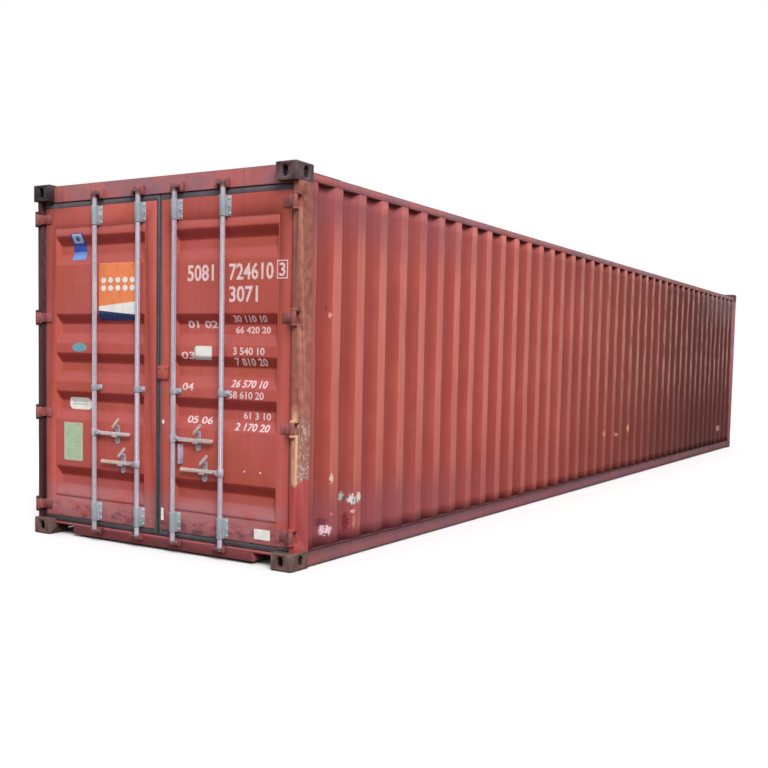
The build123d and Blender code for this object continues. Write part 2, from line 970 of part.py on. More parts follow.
# Handle retainers: a plate on the leaf with a shelf under the handle and a boss for the catch
for side_name, side in sides:
    with BuildPart() as handle_retainers:
        for bar_name, gear_side, out, row in gear:
            if gear_side == side:
                reach = -1 if row == 0 else 1
                stand = side * out + reach * handle_stands[row]
                z = handle_heights[row]
                back = door_end + frame_face
                block(
                    (back - retainer_plate, back),
                    (stand - retainer_width / 2, stand + retainer_width / 2),
                    (z - retainer_low, z + retainer_high),
                )
                rod((back, stand, z - retainer_low), (-1, 0, 0), retainer_width / 2, retainer_plate)
                shelf_top = z - handle_height / 2 - shelf_clear
                block(
                    (door_end + shelf_front, back - retainer_plate),
                    (stand - shelf_width / 2, stand + shelf_width / 2),
                    (shelf_top - shelf_sheet, shelf_top),
                )
                boss_end = door_end + catch_front + catch_sheet + catch_gap
                rod((back, stand, z + catch_rise), (-1, 0, 0), catch_boss, back - boss_end)
                rod(
                    (back, stand, z + catch_rise),
                    (-1, 0, 0),
                    catch_pin,
                    back - door_end - catch_front + catch_gap,
                )
                rod(
                    (back, stand, z - retainer_low - seal_hole),
                    (-1, 0, 0),
                    seal_hole,
                    retainer_plate,
                    Mode.SUBTRACT,
                )
        if side < 0:
            block(
                (door_end + frame_face - guard_stand, door_end + frame_face),
                (-guard_out, -guard_out - guard_sheet),
                (guard_low, guard_high),
            )
            block(
                (door_end + frame_face - guard_sheet, door_end + frame_face),
                (-guard_out, -guard_out - guard_width),
                (guard_low, guard_high),
            )
    keep(f"{side_name}_handle_retainers", handle_retainers)

# Cam keepers on the header and the sill: an open bracket round each cam
with BuildPart() as cam_keepers:
    for bar_name, side, out, row in gear:
        y = side * out
        reach = -1 if row == 0 else 1
        face = door_end + frame_face
        ear_near = cam_reach + cam_nose + keeper_clear
        ear_far = cam_round + keeper_clear
        for levels in ((bar_under - keeper_drop, sill_top), (header_under, bar_top + keeper_rise)):
            block(
                (face - keeper_plate, face),
                (y + reach * (ear_near + keeper_ear), y - reach * (ear_far + keeper_ear)),
                levels,
            )
            for near, far in (
                (reach * ear_near, reach * (ear_near + keeper_ear)),
                (-reach * ear_far, -reach * (ear_far + keeper_ear)),
            ):
                block((face - keeper_reach, face - keeper_plate), (y + near, y + far), levels)
keep("cam_keepers", cam_keepers)
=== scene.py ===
# %% [markdown]
# # A forty-foot dry freight container
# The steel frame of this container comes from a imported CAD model: posts, rails, doors and locking
# gear, all in metres. This lesson dresses it. Sheets that the press shop folded are made again as
# thin folded sheets, the welded parts get soft edges, and every surface gets a finish of its own.
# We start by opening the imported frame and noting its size, because nothing may grow beyond it.

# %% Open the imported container
import json
import math

import bmesh
import bpy
import numpy as np
from mathutils import Matrix, Vector

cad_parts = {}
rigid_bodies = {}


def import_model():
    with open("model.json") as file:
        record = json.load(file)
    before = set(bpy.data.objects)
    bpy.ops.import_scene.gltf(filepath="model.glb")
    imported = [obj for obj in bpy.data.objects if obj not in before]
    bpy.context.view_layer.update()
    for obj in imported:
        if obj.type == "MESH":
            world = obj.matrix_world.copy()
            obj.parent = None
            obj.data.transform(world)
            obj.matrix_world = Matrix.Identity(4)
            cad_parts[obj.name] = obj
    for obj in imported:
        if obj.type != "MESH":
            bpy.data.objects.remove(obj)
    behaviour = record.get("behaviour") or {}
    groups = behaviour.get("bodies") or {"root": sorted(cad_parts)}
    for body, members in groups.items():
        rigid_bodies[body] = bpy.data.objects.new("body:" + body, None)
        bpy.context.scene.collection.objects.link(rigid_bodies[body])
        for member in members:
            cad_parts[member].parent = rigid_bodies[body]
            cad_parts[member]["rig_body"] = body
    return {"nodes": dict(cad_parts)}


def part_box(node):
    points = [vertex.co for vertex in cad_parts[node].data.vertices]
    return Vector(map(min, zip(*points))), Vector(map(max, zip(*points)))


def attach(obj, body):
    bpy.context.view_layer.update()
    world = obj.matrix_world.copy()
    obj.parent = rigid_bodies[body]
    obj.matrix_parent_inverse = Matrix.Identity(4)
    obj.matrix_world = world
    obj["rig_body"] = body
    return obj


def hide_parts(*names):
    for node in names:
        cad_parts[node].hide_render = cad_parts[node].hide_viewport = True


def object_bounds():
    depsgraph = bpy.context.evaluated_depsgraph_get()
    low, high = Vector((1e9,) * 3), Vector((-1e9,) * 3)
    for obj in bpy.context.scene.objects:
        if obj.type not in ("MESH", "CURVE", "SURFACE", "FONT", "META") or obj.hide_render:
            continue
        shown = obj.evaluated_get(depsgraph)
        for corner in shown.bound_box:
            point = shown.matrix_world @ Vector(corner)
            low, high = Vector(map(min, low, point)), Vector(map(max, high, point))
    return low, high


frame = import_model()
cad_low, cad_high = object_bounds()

scene = bpy.context.scene
nodes = frame["nodes"]
door_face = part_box("left_door_frame")[0].x
print("container", [round(v, 3) for v in cad_high - cad_low], "nodes", len(nodes))

# %% [markdown]
# ## Where the photographer stood
# The eight visible corners of the box give the place of the eye, the way it looks and the length of
# its lens, in pixels of a 768-pixel picture. The picture was trimmed unevenly, so the lens axis lies a
# little right of its middle and below it, which the camera's shift puts back. A camera looks along
# its own -Z, so its matrix holds the picture's right, its up and the direction backwards.

# %% Camera
def host(name, data=None):
    """An object in the scene, with an empty mesh unless it is given something else."""
    made = bpy.data.objects.new(name, data or bpy.data.meshes.new(name))
    scene.collection.objects.link(made)
    return made


picture, focal_pixels = 768, 972.2
off_right, off_down = 45.7, 39.7
eye = Vector((-10.965, -4.982, 1.375))
heading, tilt, roll = (math.radians(a) for a in (29.67, -3.77, 1.36))

ahead = Vector((math.cos(tilt) * math.cos(heading), math.cos(tilt) * math.sin(heading), math.sin(tilt)))
level_right = ahead.cross(Vector((0, 0, 1))).normalized()
level_up = level_right.cross(ahead)
right = level_right * math.cos(roll) + level_up * math.sin(roll)
up = level_up * math.cos(roll) - level_right * math.sin(roll)

lens = bpy.data.cameras.new("eye")
lens.sensor_width = 36
lens.lens = focal_pixels / picture * lens.sensor_width
lens.shift_x, lens.shift_y = -off_right / picture, off_down / picture
lens.clip_end = 400
camera = host("eye", lens)
camera.matrix_world = Matrix([(right[i], up[i], -ahead[i], eye[i]) for i in range(3)] + [(0, 0, 0, 1)])
scene.camera = camera
print("lens", round(lens.lens, 1), "mm")

# %% [markdown]
# ## Small helpers for node trees
# Materials and Geometry Nodes are both graphs. One tree is in hand at a time, and put adds a node to
# it. What a node puts out is kept as a Value, so that sums can be written as sums: a * b adds a Math
# node. Two more helpers stretch a value to a new span and mix colours. Colours are written as they
# look on a screen, from 0 to 255, and turned to light values.

# %% Node helpers
class Value:
    """One output of a node. Sums with it add Math nodes, and [name] is another output of its node."""

    def __init__(self, node, out=0):
        self.node, self.out = node, out

    def __getitem__(self, out):
        return Value(self.node, out)

    def __add__(self, other):
        return calc("ADD", self, other)

    def __sub__(self, other):
        return calc("SUBTRACT", self, other)

    def __rsub__(self, other):
        return calc("SUBTRACT", other, self)

    def __mul__(self, other):
        return calc("MULTIPLY", self, other)

    def __truediv__(self, other):
        return calc("DIVIDE", self, other)

    def __abs__(self):
        return calc("ABSOLUTE", self)


def feed(made, inputs):
    """Fill a node's sockets: a Value is linked, and anything else is typed in."""
    for key, value in inputs.items():
        if isinstance(value, Value):
            tree.links.new(value.node.outputs[value.out], made.inputs[key])
        else:
            made.inputs[key].default_value = value


def put(kind, inputs=None, out=0, **settings):
    """Add a node to the tree in hand, fill its sockets, and hand over one of its outputs."""
    made = tree.nodes.new(kind)
    for key, value in settings.items():
        setattr(made, key, value)
    feed(made, inputs or {})
    return Value(made, out)


def calc(operation, *values, clamp=False):
    """One step of arithmetic on values or numbers."""
    return put("ShaderNodeMath", dict(enumerate(values)), operation=operation, use_clamp=clamp)


def span(value, low, high, start=0.0, end=1.0, smooth=True):
    """Stretch a value from one span to another, and hold it at the ends."""
    kind = "SMOOTHSTEP" if smooth else "LINEAR"
    return put("ShaderNodeMapRange", {0: value, 1: low, 2: high, 3: start, 4: end}, interpolation_type=kind)


def rgb(r, g, b):
    """A screen colour as the light values that shaders use."""
    share = [c / 255 for c in (r, g, b)]
    return [c / 12.92 if c <= 0.04045 else ((c + 0.055) / 1.055) ** 2.4 for c in share] + [1]


def mix(share, first, second, way="MIX"):
    """Mix two colours. A tuple is a screen colour."""
    first, second = (rgb(*c) if isinstance(c, tuple) else c for c in (first, second))
    return put("ShaderNodeMix", {0: share, 6: first, 7: second}, 2, data_type="RGBA", blend_type=way)


NUMBER, COLOUR, SHAPE, FINISH = (
    "NodeSocketFloat", "NodeSocketColor", "NodeSocketGeometry", "NodeSocketMaterial")


def group(name, inputs, outputs, kind="ShaderNodeTree"):
    """Take a new node group in hand. Returns it, the values given to it and the node to feed."""
    global tree
    tree = bpy.data.node_groups.new(name, kind)
    kinds = {float: NUMBER, int: "NodeSocketInt", list: COLOUR}
    for label, value in inputs.items():
        socket_kind = kinds.get(type(value), value)
        made = tree.interface.new_socket(label, in_out="INPUT", socket_type=socket_kind)
        if type(value) in kinds:
            made.default_value = value
    for label, socket_kind in outputs.items():
        tree.interface.new_socket(label, in_out="OUTPUT", socket_type=socket_kind)
    return tree, Value(tree.nodes.new("NodeGroupInput")), tree.nodes.new("NodeGroupOutput")


# %% [markdown]
# ## Effects that several finishes share
# Weather treats all paint alike: it fades in clouds, rain draws streaks down it, and dust settles
# low. Rust comes as spots that bleed downwards. Wear strips the edges that get knocked. Each is a
# node group that puts out only masks, colours and heights, so that every finish can use it with
# its own strength.

# %% Weather group
def place(scale=(1, 1, 1), shift=0.0):
    """The surface's own coordinates, stretched and shifted."""
    where = put("ShaderNodeTexCoord", out="Object")
    return put("ShaderNodeMapping", {"Vector": where, "Scale": scale, "Location": (shift, shift, shift)})


def apart(vector):
    """The three numbers of a vector."""
    split = put("ShaderNodeSeparateXYZ", {0: vector})
    return split[0], split[1], split[2]


def noise(where, scale, detail=3.0, rough=0.5, warp=0.0):
    inputs = {"Vector": where, "Scale": scale, "Detail": detail, "Roughness": rough, "Distortion": warp}
    return put("ShaderNodeTexNoise", inputs)


weather, given, gives = group(
    "weather",
    dict(Paint=rgb(176, 88, 80), Faded=rgb(206, 122, 112), Grime=rgb(96, 62, 62),
         Fade=0.6, Streaks=0.5, Dust=0.5),
    dict(Color=COLOUR, Roughness=NUMBER, Height=NUMBER),
)
clouds = noise(place(), 0.9, 4.0, 0.6)
patches = noise(place(shift=7.0), 7.0, 5.0, 0.62)
rain = noise(place((26, 26, 0.7)), 1.0, 4.0, 0.6)
grains = noise(place(), 420.0, 2.0)
faded = span(clouds * 0.6 + patches * 0.4, 0.42, 0.62)
paint = mix(faded * given["Fade"], given["Paint"], given["Faded"])
paint = mix(span(rain, 0.5, 0.72) * given["Streaks"], paint, given["Grime"])
low = span(apart(place())[2], 0.75, 0.1) * given["Dust"]
paint = mix(low * span(patches, 0.3, 0.62), paint, given["Grime"])
speckle = span(grains, 0.3, 0.7, 0.94, 1.06, smooth=False)
grey = put("ShaderNodeCombineColor", {0: speckle, 1: speckle, 2: speckle})
feed(gives, {
    "Color": mix(1.0, paint, grey, "MULTIPLY"),
    "Roughness": span(patches, 0.3, 0.7, 0.42, 0.68),
    "Height": grains * 0.35 + patches,
})
print("weather group", len(weather.nodes), "nodes")

# %% Rust and wear groups
rust, given, gives = group(
    "rust", dict(Amount=0.3, Size=14.0, Runs=0.4), dict(Mask=NUMBER, Color=COLOUR, Height=NUMBER))
where = place(shift=3.0)
spots = noise(where, given["Size"], 6.0, 0.7, 0.4)
start = 0.8 - given["Amount"] * 0.4
spot_mask = span(spots - start, 0.0, 0.05)
bleed = noise(place((18, 18, 1.1), 5.0), 1.0, 5.0, 0.7)
bleed_mask = span(bleed - start, 0.0, 0.12) * given["Runs"]
mottle = noise(where, 60.0, 4.0, 0.7)
tone = put("ShaderNodeValToRGB", {0: mottle})
for stop, position, colour in zip(tone.node.color_ramp.elements, (0.32, 0.7), ((58, 34, 28), (142, 82, 52))):
    stop.position, stop.color = position, rgb(*colour)
feed(gives, {"Mask": calc("MAXIMUM", spot_mask, bleed_mask), "Color": tone, "Height": spot_mask * mottle})

wear, given, gives = group("wear", dict(Reach=0.004, Amount=0.6), dict(Mask=NUMBER))
rounded = put("ShaderNodeBevel", {"Radius": given["Reach"]}, samples=4)
flat = put("ShaderNodeNewGeometry", out="True Normal")
turned = put("ShaderNodeVectorMath", {0: rounded, 1: flat}, "Value", operation="DOT_PRODUCT")
edge = span(1.0 - turned, 0.02, 0.2)
broken = span(noise(place(), 38.0, 4.0, 0.65), 0.42, 0.6)
feed(gives, {"Mask": edge * broken * given["Amount"]})
print("rust and wear groups ready")

# %% [markdown]
# ## The finishes
# One function builds every painted steel finish from the shared groups: paint under weather, rust
# spots over it and worn edges last. A finish is a set of numbers. The corrugated sheets also carry
# an attribute called ridge, which is 1 on the outer folds and 0 in the recesses. The folds are paler,
# where hands, ropes and sun have worn the paint, with a painted highlight on them, and the recesses
# are darker, painted shade with the dirt that stays there.

# %% Painted steel
def use(shared, **values):
    """Place a shared group in the tree in hand, with its own values."""
    return put("ShaderNodeGroup", values, node_tree=shared)


def blank(name):
    """Take a new material's tree in hand. Returns the material and its main shader."""
    global tree
    made = bpy.data.materials.new(name)
    made.use_nodes = True
    tree = made.node_tree
    return made, tree.nodes["Principled BSDF"]


def finish(shader, colour, rough, height, depth=0.0006, strength=0.6):
    """Connect what a finish has worked out to its shader."""
    bump = put("ShaderNodeBump", {"Height": height, "Strength": strength, "Distance": depth})
    feed(shader, {"Base Color": colour, "Roughness": rough, "Normal": bump})


def painted(name, colour, faded, grime=(96, 62, 62), streaks=0.35, dust=0.5, rusty=0.25,
            rust_size=14.0, runs=0.4, worn=0.5, extra=None):
    """Painted steel. extra(colour) may change the colour before rust and wear."""
    made, shader = blank(name)
    shader.inputs["Specular IOR Level"].default_value = 0.3
    aged = use(weather, Paint=rgb(*colour), Faded=rgb(*faded), Grime=rgb(*grime),
               Fade=0.6, Streaks=streaks, Dust=dust)
    shade = extra(aged["Color"]) if extra else aged["Color"]
    spots = use(rust, Amount=rusty, Size=rust_size, Runs=runs)
    shade = mix(spots["Mask"], shade, spots["Color"])
    if worn:
        shade = mix(use(wear, Reach=0.004, Amount=worn)["Mask"], shade, (150, 104, 84))
    rough = calc("ADD", aged["Roughness"], spots["Mask"] * 0.3, clamp=True)
    finish(shader, shade, rough, aged["Height"] - spots["Height"] * 1.5)
    return made


def clouds_of(scale, low, high, end=1.0, shift=0.0, stretch=(1, 1, 1)):
    """Soft patches of noise, from 0 to end."""
    return span(noise(place(stretch, shift), scale, 4.0, 0.6), low, high, 0.0, end)


def coats(shade, *layers):
    """Lay screen colours over a shade, each through a mask of its own."""
    for mask, *colour in layers:
        shade = mix(mask, shade, tuple(colour))
    return shade


def dab(x, z, wide, tall):
    """The mask of a dab of paint or a scrape on the right-hand wall, with a ragged edge."""
    middle, here = (x / wide, -1.21, z / tall), place((1 / wide, 1, 1 / tall))
    away = put("ShaderNodeVectorMath", {0: here, 1: middle}, "Value", operation="DISTANCE")
    ragged = away + span(noise(place(), 55.0, 4.0), 0.3, 0.7, -0.5, 0.5, False)
    return span(ragged, 1.05, 0.75, 0.0, 0.8)


wall_dabs = (
    ((222, 158, 140), -5.688, 1.652, 0.012, 0.022), ((126, 44, 48), -5.712, 1.700, 0.006, 0.030),
    ((240, 204, 188), -5.658, 0.565, 0.019, 0.034), ((176, 204, 190), -5.500, 0.425, 0.032, 0.034),
    ((70, 84, 88), -5.462, 0.408, 0.018, 0.014), ((226, 226, 228), -5.402, 0.392, 0.032, 0.036),
    ((240, 226, 206), -5.338, 0.404, 0.032, 0.036), ((80, 92, 108), -5.392, 0.386, 0.007, 0.020),
    ((80, 92, 108), -5.364, 0.388, 0.007, 0.024), ((232, 226, 222), -5.378, 0.372, 0.008, 0.010),
    ((112, 24, 38), -5.450, 0.245, 0.038, 0.062), ((232, 168, 178), -5.390, 0.312, 0.018, 0.016),
    ((206, 124, 134), -5.384, 0.236, 0.010, 0.052), ((104, 44, 66), -5.738, 0.272, 0.048, 0.036),
    ((240, 204, 216), -5.722, 0.219, 0.032, 0.032), ((240, 208, 218), -5.680, 0.220, 0.032, 0.034),
    ((190, 110, 120), -5.704, 0.222, 0.006, 0.012), ((226, 130, 140), -5.654, 0.324, 0.018, 0.012),
    ((214, 146, 116), -0.300, 0.575, 0.040, 0.030), ((200, 132, 106), 0.040, 0.560, 0.030, 0.018),
    ((206, 138, 110), 0.190, 0.535, 0.034, 0.022), ((222, 156, 126), 0.555, 0.600, 0.040, 0.050),
    ((180, 136, 128), 5.250, 0.360, 0.045, 0.050),
)


def folded_sheet(shade):
    """Worn ridges with painted highlight, recesses with painted shade and dirt, and painted shade towards the front
    end, darkest on the right wall.
    """
    ridge = put("ShaderNodeAttribute", out="Fac", attribute_name="ridge")
    x, y, z = apart(place())
    broken = span(noise(place((9, 9, 1.4)), 1.0, 5.0, 0.65), 0.3, 0.65)
    high_film = span(z, 1.95, 2.40, 0.0, 0.75) * clouds_of(2.2, 0.2, 0.55)
    low_film = span(z, 0.62, 0.30, 0.0, 0.8) * clouds_of(3.0, 0.2, 0.55, shift=4.0)
    cloudy = x + span(noise(place(), 0.7, 3.0), 0.3, 0.7, -0.6, 0.6, False)
    painted_shade_side = span(y, -1.11, -1.15, 0.35, 1.0)
    kept = span(ridge, 0.8, 1.0) * clouds_of(1.0, 0.4, 0.58, 0.55, 1.0, (40, 40, 5))
    kept = kept * span(x, -2.6, 1.0) * span(z, 0.65, 1.35, 0.1, 1.0)
    return coats(
        shade,
        # Paler ridges: worn paint with a painted highlight. Darker recesses: painted shade with dirt.
        (span(ridge, 0.8, 1.0) * span(broken, 0, 1, 0.55, 0.9, False), 212, 122, 108),
        (span(ridge, 0.9, 0.1, 0.0, 0.3), 126, 48, 42),
        (span(z, 1.3, 0.35, 0.0, 0.25), 130, 46, 38),
        (calc("MAXIMUM", high_film, low_film) * span(x, -4.9, -2.6, 1.0, 0.15), 146, 76, 84),
        # Darker strip next to the rear posts: painted shade with dirt.
        (span(x, -5.84, -5.90, 0.0, 0.5), 122, 56, 58),
        # Painted shade: the wall darkens towards the front end, fully on the right wall and about a third as much on
        # the other sheets; the pale ridges laid back over it are worn paint with a painted highlight.
        (painted_shade_side * span(cloudy, -3.6, 0.9, 0.0, 0.62), 92, 36, 27),
        (painted_shade_side * span(cloudy, -0.3, 4.2, 0.0, 0.86), 68, 26, 26),
        (painted_shade_side * kept, 204, 142, 132),
        (span(x, 3.2, 5.2) * span(z, 1.9, 2.38, 0.0, 0.35), 122, 106, 104),
        *((dab(*spot), *colour) for colour, *spot in wall_dabs),
    )


def aged_and_shaded_door(shade):
    """Doors: orange and pink clouds in the old paint, painted shade on downward-facing slopes with less faded paint
    there, a pinker, darker red on upward-facing slopes, and a scuffed purple foot.
    """
    z = apart(place())[2]
    facing = apart(put("ShaderNodeNewGeometry", out="Normal"))[2]
    return coats(
        shade,
        (clouds_of(1.9, 0.46, 0.64, 0.45, 4.0), 176, 82, 56),
        (clouds_of(2.6, 0.5, 0.68, 0.35, 11.0), 182, 82, 92),
        # Downward-facing slopes: painted shade, and paint less faded there. Upward-facing slopes are toned a pinker,
        # darker red.
        (span(facing, -0.1, -0.4, 0.0, 0.55), 146, 24, 16),
        (span(facing, 0.1, 0.45, 0.0, 0.6), 168, 82, 80),
        (span(z, 0.46, 0.30) * clouds_of(4.0, 0.3, 0.55, 0.85, 2.0, (1, 1, 1.6)), 164, 106, 110),
        (span(z, 0.30, 0.20) * clouds_of(9.0, 0.46, 0.62, 0.7, 6.0, (1, 1, 2)), 104, 62, 78),
    )


def film(share):
    """A purple-grey film that lies in patches on rails and headers."""
    return lambda shade: mix(clouds_of(3.2, 0.4, 0.62, share, 8.0), shade, (128, 90, 102))


def rail_film_and_lip_shade(shade):
    """Bottom rails: purple film, and painted shade close under the lip that fades towards the ground."""
    return mix(span(apart(place())[2], 0.035, 0.112, 0.0, 0.7), film(0.7)(shade), (66, 42, 50))


purple = (96, 62, 72)
wall_paint = painted("wall_paint", (170, 74, 65), (186, 92, 82), streaks=0.22, dust=0.2, rusty=0.16,
                     runs=0.3, worn=0, extra=folded_sheet)
shell_paint = painted("shell_paint", (164, 84, 84), (178, 104, 104), purple, dust=0.4, rusty=0.26, extra=film(0.75))
sill_paint = painted("sill_paint", (178, 86, 90), (188, 100, 102), purple, dust=0.1, rusty=0.2, extra=film(0.45))
rail_paint = painted("rail_paint", (158, 92, 96), (172, 108, 114), purple, dust=0.4, rusty=0.26, extra=rail_film_and_lip_shade)
door_paint = painted("door_paint", (188, 86, 77), (200, 100, 92), (120, 66, 70), 0.2, 0.3, 0.1,
                     worn=0.25, extra=aged_and_shaded_door)
gear_paint = painted("gear_paint", (150, 84, 82), (166, 98, 98), (90, 56, 60), rusty=0.3, rust_size=30.0)
inside_paint = painted("inside_paint", (168, 166, 158), (184, 182, 174), (120, 112, 100), 0.2, rusty=0.12, worn=0)
print("painted finishes:", len(bpy.data.materials))

# %% [markdown]
# ## Bare and other surfaces
# The corner castings are thick steel with little paint left. Bars, guides and handles were dipped in
# zinc, which goes dull and lilac-grey outdoors, with white bloom. The seals are black rubber that
# picks up green film near the ground, and the floor is plywood with a worn varnish.

# %% Castings, zinc, rubber and plywood
def worn_and_shaded_post(shade):
    """Above its repainted foot the right post is worn to brown; the front faces get painted shade above a metre, and
    the left post is dark maroon, painted shade with dirt.
    """
    x, y, z = apart(place())
    broken = noise(place(), 9.0, 6.0, 0.62)
    height = z + span(broken, 0.3, 0.7, -0.03, 0.03, False)
    above_foot = span(height, 0.56, 0.59)
    low = above_foot * span(height, 1.06, 0.94)
    side = span(x, -6.050, -6.040)
    front = 1.0 - side
    curl = abs(noise(place(shift=7.0), 20.0, 2.0, 0.5, 0.6) - 0.5)
    scraped = calc("MAXIMUM", span(curl, 0.022, 0.008, 0.0, 0.8), clouds_of(22.0, 0.56, 0.64, 0.5, 14.0))
    outer = span(y, -1.183, -1.190) * front
    brown = coats(
        mix(clouds_of(17.0, 0.38, 0.62, 1.0, 3.0), (158, 92, 80), (180, 114, 98)),
        (clouds_of(7.0, 0.52, 0.64, 0.6, 21.0), 184, 126, 100),
        (clouds_of(11.0, 0.58, 0.64, 0.6, 9.0, (1, 1, 0.5)), 118, 70, 62),
        (low * 0.6, 142, 104, 90),
    )
    return coats(
        mix(above_foot * span(broken, 0.3, 0.45, 0.75, 0.97, False), shade, brown),
        (low * side * scraped, 216, 188, 180),
        (low * outer * clouds_of(1.0, 0.36, 0.46, 0.9, 5.0, (30, 30, 6)), 226, 172, 136),
        # Painted shade on the front faces above a metre.
        (front * span(height, 1.0, 1.15, 0.0, 0.45), 112, 62, 56),
        # The left post darkened to maroon: painted shade with dirt.
        (span(y, 1.0, 1.1, 0.0, 0.95), 66, 34, 42),
    )


post_paint = painted("post_paint", (178, 72, 72), (186, 84, 80), streaks=0.12, dust=0.2, rusty=0.12,
                     rust_size=20.0, runs=0.1, extra=worn_and_shaded_post)

casting, shader = blank("fitting_steel")
where = place()
x, y, z = apart(where)
body = coats(
    mix(span(noise(where, 11.0, 6.0, 0.65), 0.35, 0.65), (66, 50, 55), (106, 84, 86)),
    (span(noise(place(shift=9.0), 6.0, 5.0, 0.7), 0.56, 0.64, 0, 0.6), 122, 62, 62),
    (span(z, 0.30, 0.20, 0.0, 0.5), 118, 88, 74),
    (span(y, 0.9, 1.0, 0.0, 0.75) * span(z, 2.3, 2.4), 30, 26, 30),
    (span(x, 5.0, 5.5, 0.0, 0.6), 112, 72, 70),
    (use(wear, Reach=0.007, Amount=0.6)["Mask"], 146, 126, 124),
)
pits = noise(where, 160.0, 4.0, 0.6)
finish(shader, body, span(pits, 0.3, 0.7, 0.55, 0.8), pits + noise(where, 30.0, 3.0), 0.0015, 0.8)
shader.inputs["Metallic"].default_value = 0.2


def dipped(name, dark, light, bloom_colour, tint=None, hub=None):
    """Steel dipped in zinc: flakes, white bloom, a little rust, dark red cams at the bar ends."""
    made, shader = blank(name)
    where = place()
    x, y, z = apart(where)
    flakes = put("ShaderNodeTexVoronoi", {"Vector": where, "Scale": 90.0}, "Color")
    bloom = span(noise(place((30, 30, 4)), 1.0, 5.0, 0.65), 0.5, 0.7)
    body = mix(put("ShaderNodeSeparateColor", {0: flakes}) * 0.7, dark, light)
    body = mix(bloom * 0.6, body, bloom_colour)
    if tint:
        body = mix(clouds_of(7.0, 0.5, 0.62, 0.7, 3.0), body, tint)
    if hub:
        bars_middle, bars_half = 0.3855, 0.2145
        from_bar = abs(abs(abs(y) - bars_middle) - bars_half)
        body = mix(span(from_bar, 0.045, 0.034, 0.0, 0.8), body, hub)
    stain = use(rust, Amount=0.16, Size=26.0, Runs=0.25)["Mask"]
    cams = calc("MAXIMUM", span(z, 2.455, 2.475, 0.0, 0.9), span(z, 0.095, 0.080, 0.0, 0.9))
    body = coats(body, (stain * 0.6, 150, 108, 96), (cams, 112, 62, 64))
    finish(shader, body, span(bloom, 0, 1, 0.42, 0.66, False), noise(where, 300.0, 3.0), 0.0004, 0.5)
    shader.inputs["Metallic"].default_value = 0.15
    return made


zinc = dipped("zinc", (176, 166, 180), (198, 188, 202), (216, 206, 212))
guide_zinc = dipped("guide_zinc", (160, 166, 178), (186, 190, 202), (214, 208, 214), (146, 178, 174))
handle_zinc = dipped(
    "handle_zinc", (196, 180, 180), (216, 202, 202), (236, 216, 202), (220, 172, 138), (178, 198, 220))

rubber, shader = blank("gasket_rubber")
where = place()
body = coats(
    mix(noise(where, 14.0, 5.0, 0.6), (58, 56, 66), (112, 102, 110)),
    (span(apart(where)[2], 0.5, 0.12) * clouds_of(9.0, 0.45, 0.6, 0.6, 2.0), 54, 88, 76),
)
rough = span(noise(where, 40.0, 3.0), 0.3, 0.7, 0.6, 0.85)
finish(shader, body, rough, noise(where, 240.0, 3.0), 0.0005, 0.5)

plywood, shader = blank("plywood")
x, y, z = apart(place())
grain = noise(place((2.2, 34, 34)), 1.0, 8.0, 0.62, 1.2)
scuffs = span(noise(place(), 3.5, 6.0, 0.7), 0.5, 0.68, 0, 0.65)
half_long, board_wide = 1.2, 0.585
seam = calc("MINIMUM", calc("PINGPONG", x, half_long), calc("PINGPONG", y, board_wide))
body = coats(
    mix(span(grain, 0.3, 0.7), (104, 62, 38), (158, 104, 66)),
    (scuffs, 132, 118, 104),
    (span(seam, 0.003, 0.0015, 0.0, 0.9), 36, 24, 18),
)
finish(shader, body, span(scuffs, 0, 0.65, 0.45, 0.8, False), grain, 0.0008, 0.5)
print("finishes:", len(bpy.data.materials))

# %% [markdown]
# ## Light, floor and background
# Everything is lit plainly: a pale sky all round and a broad lamp high on the side of the long wall,
# so the outer folds are the brightest. The camera, and what is mirrored in metal, see white where
# there is no object. The floor keeps the shadow and melts into white further out.

# %% Studio
scene.view_settings.view_transform = "Standard"
world = bpy.data.worlds.new("studio")
scene.world = world
world.use_nodes = True
tree = world.node_tree
tree.nodes.clear()
rays = put("ShaderNodeLightPath")
mirrored = calc("MAXIMUM", rays["Is Glossy Ray"], rays["Is Transmission Ray"])
upward = apart(put("ShaderNodeTexCoord", out="Generated"))[2]
pale = mix(span(upward, -0.1, 0.6), (150, 148, 146), (246, 249, 255))
sky = put("ShaderNodeBackground", {0: pale, 1: 1.0})
white = put("ShaderNodeBackground", {0: (1, 1, 1, 1), 1: 1.0})
seen = calc("MAXIMUM", rays["Is Camera Ray"], mirrored)
put("ShaderNodeOutputWorld", {0: put("ShaderNodeMixShader", {0: seen, 1: sky, 2: white})})

sun = bpy.data.lights.new("broad_sun", "SUN")
sun.energy, sun.angle, sun.color = 2.6, math.radians(24), (1.0, 0.98, 0.95)
lamp = host("broad_sun", sun)
lamp.location = (-10.5, -12.5, 14)
lamp.rotation_euler = (-lamp.location).to_track_quat("-Z", "Y").to_euler()

floor_finish, shader = blank("studio_floor")
glow = put("ShaderNodeEmission", {0: (1, 1, 1, 1), 1: 1.0})
distance = put("ShaderNodeVectorMath", {0: place((0.11, 0.16, 0))}, "Value", operation="LENGTH")
looked_at = put("ShaderNodeLightPath")["Is Camera Ray"]
ground = mix(looked_at, (96, 92, 90), (245, 245, 245))
feed(shader, {"Base Color": ground, "Roughness": 0.9, "Specular IOR Level": 0.1})
melts = span(distance, 0.72, 1.5) * looked_at
both = put("ShaderNodeMixShader", {0: melts, 1: Value(shader), 2: glow})
feed(tree.nodes["Material Output"], {0: both})
floor = host("studio_floor")
floor.data.from_pydata([(-90, -90, 0), (90, -90, 0), (90, 90, 0), (-90, 90, 0)], [], [(0, 1, 2, 3)])
floor.data.materials.append(floor_finish)
floor.location.z = -0.001
print("studio ready")

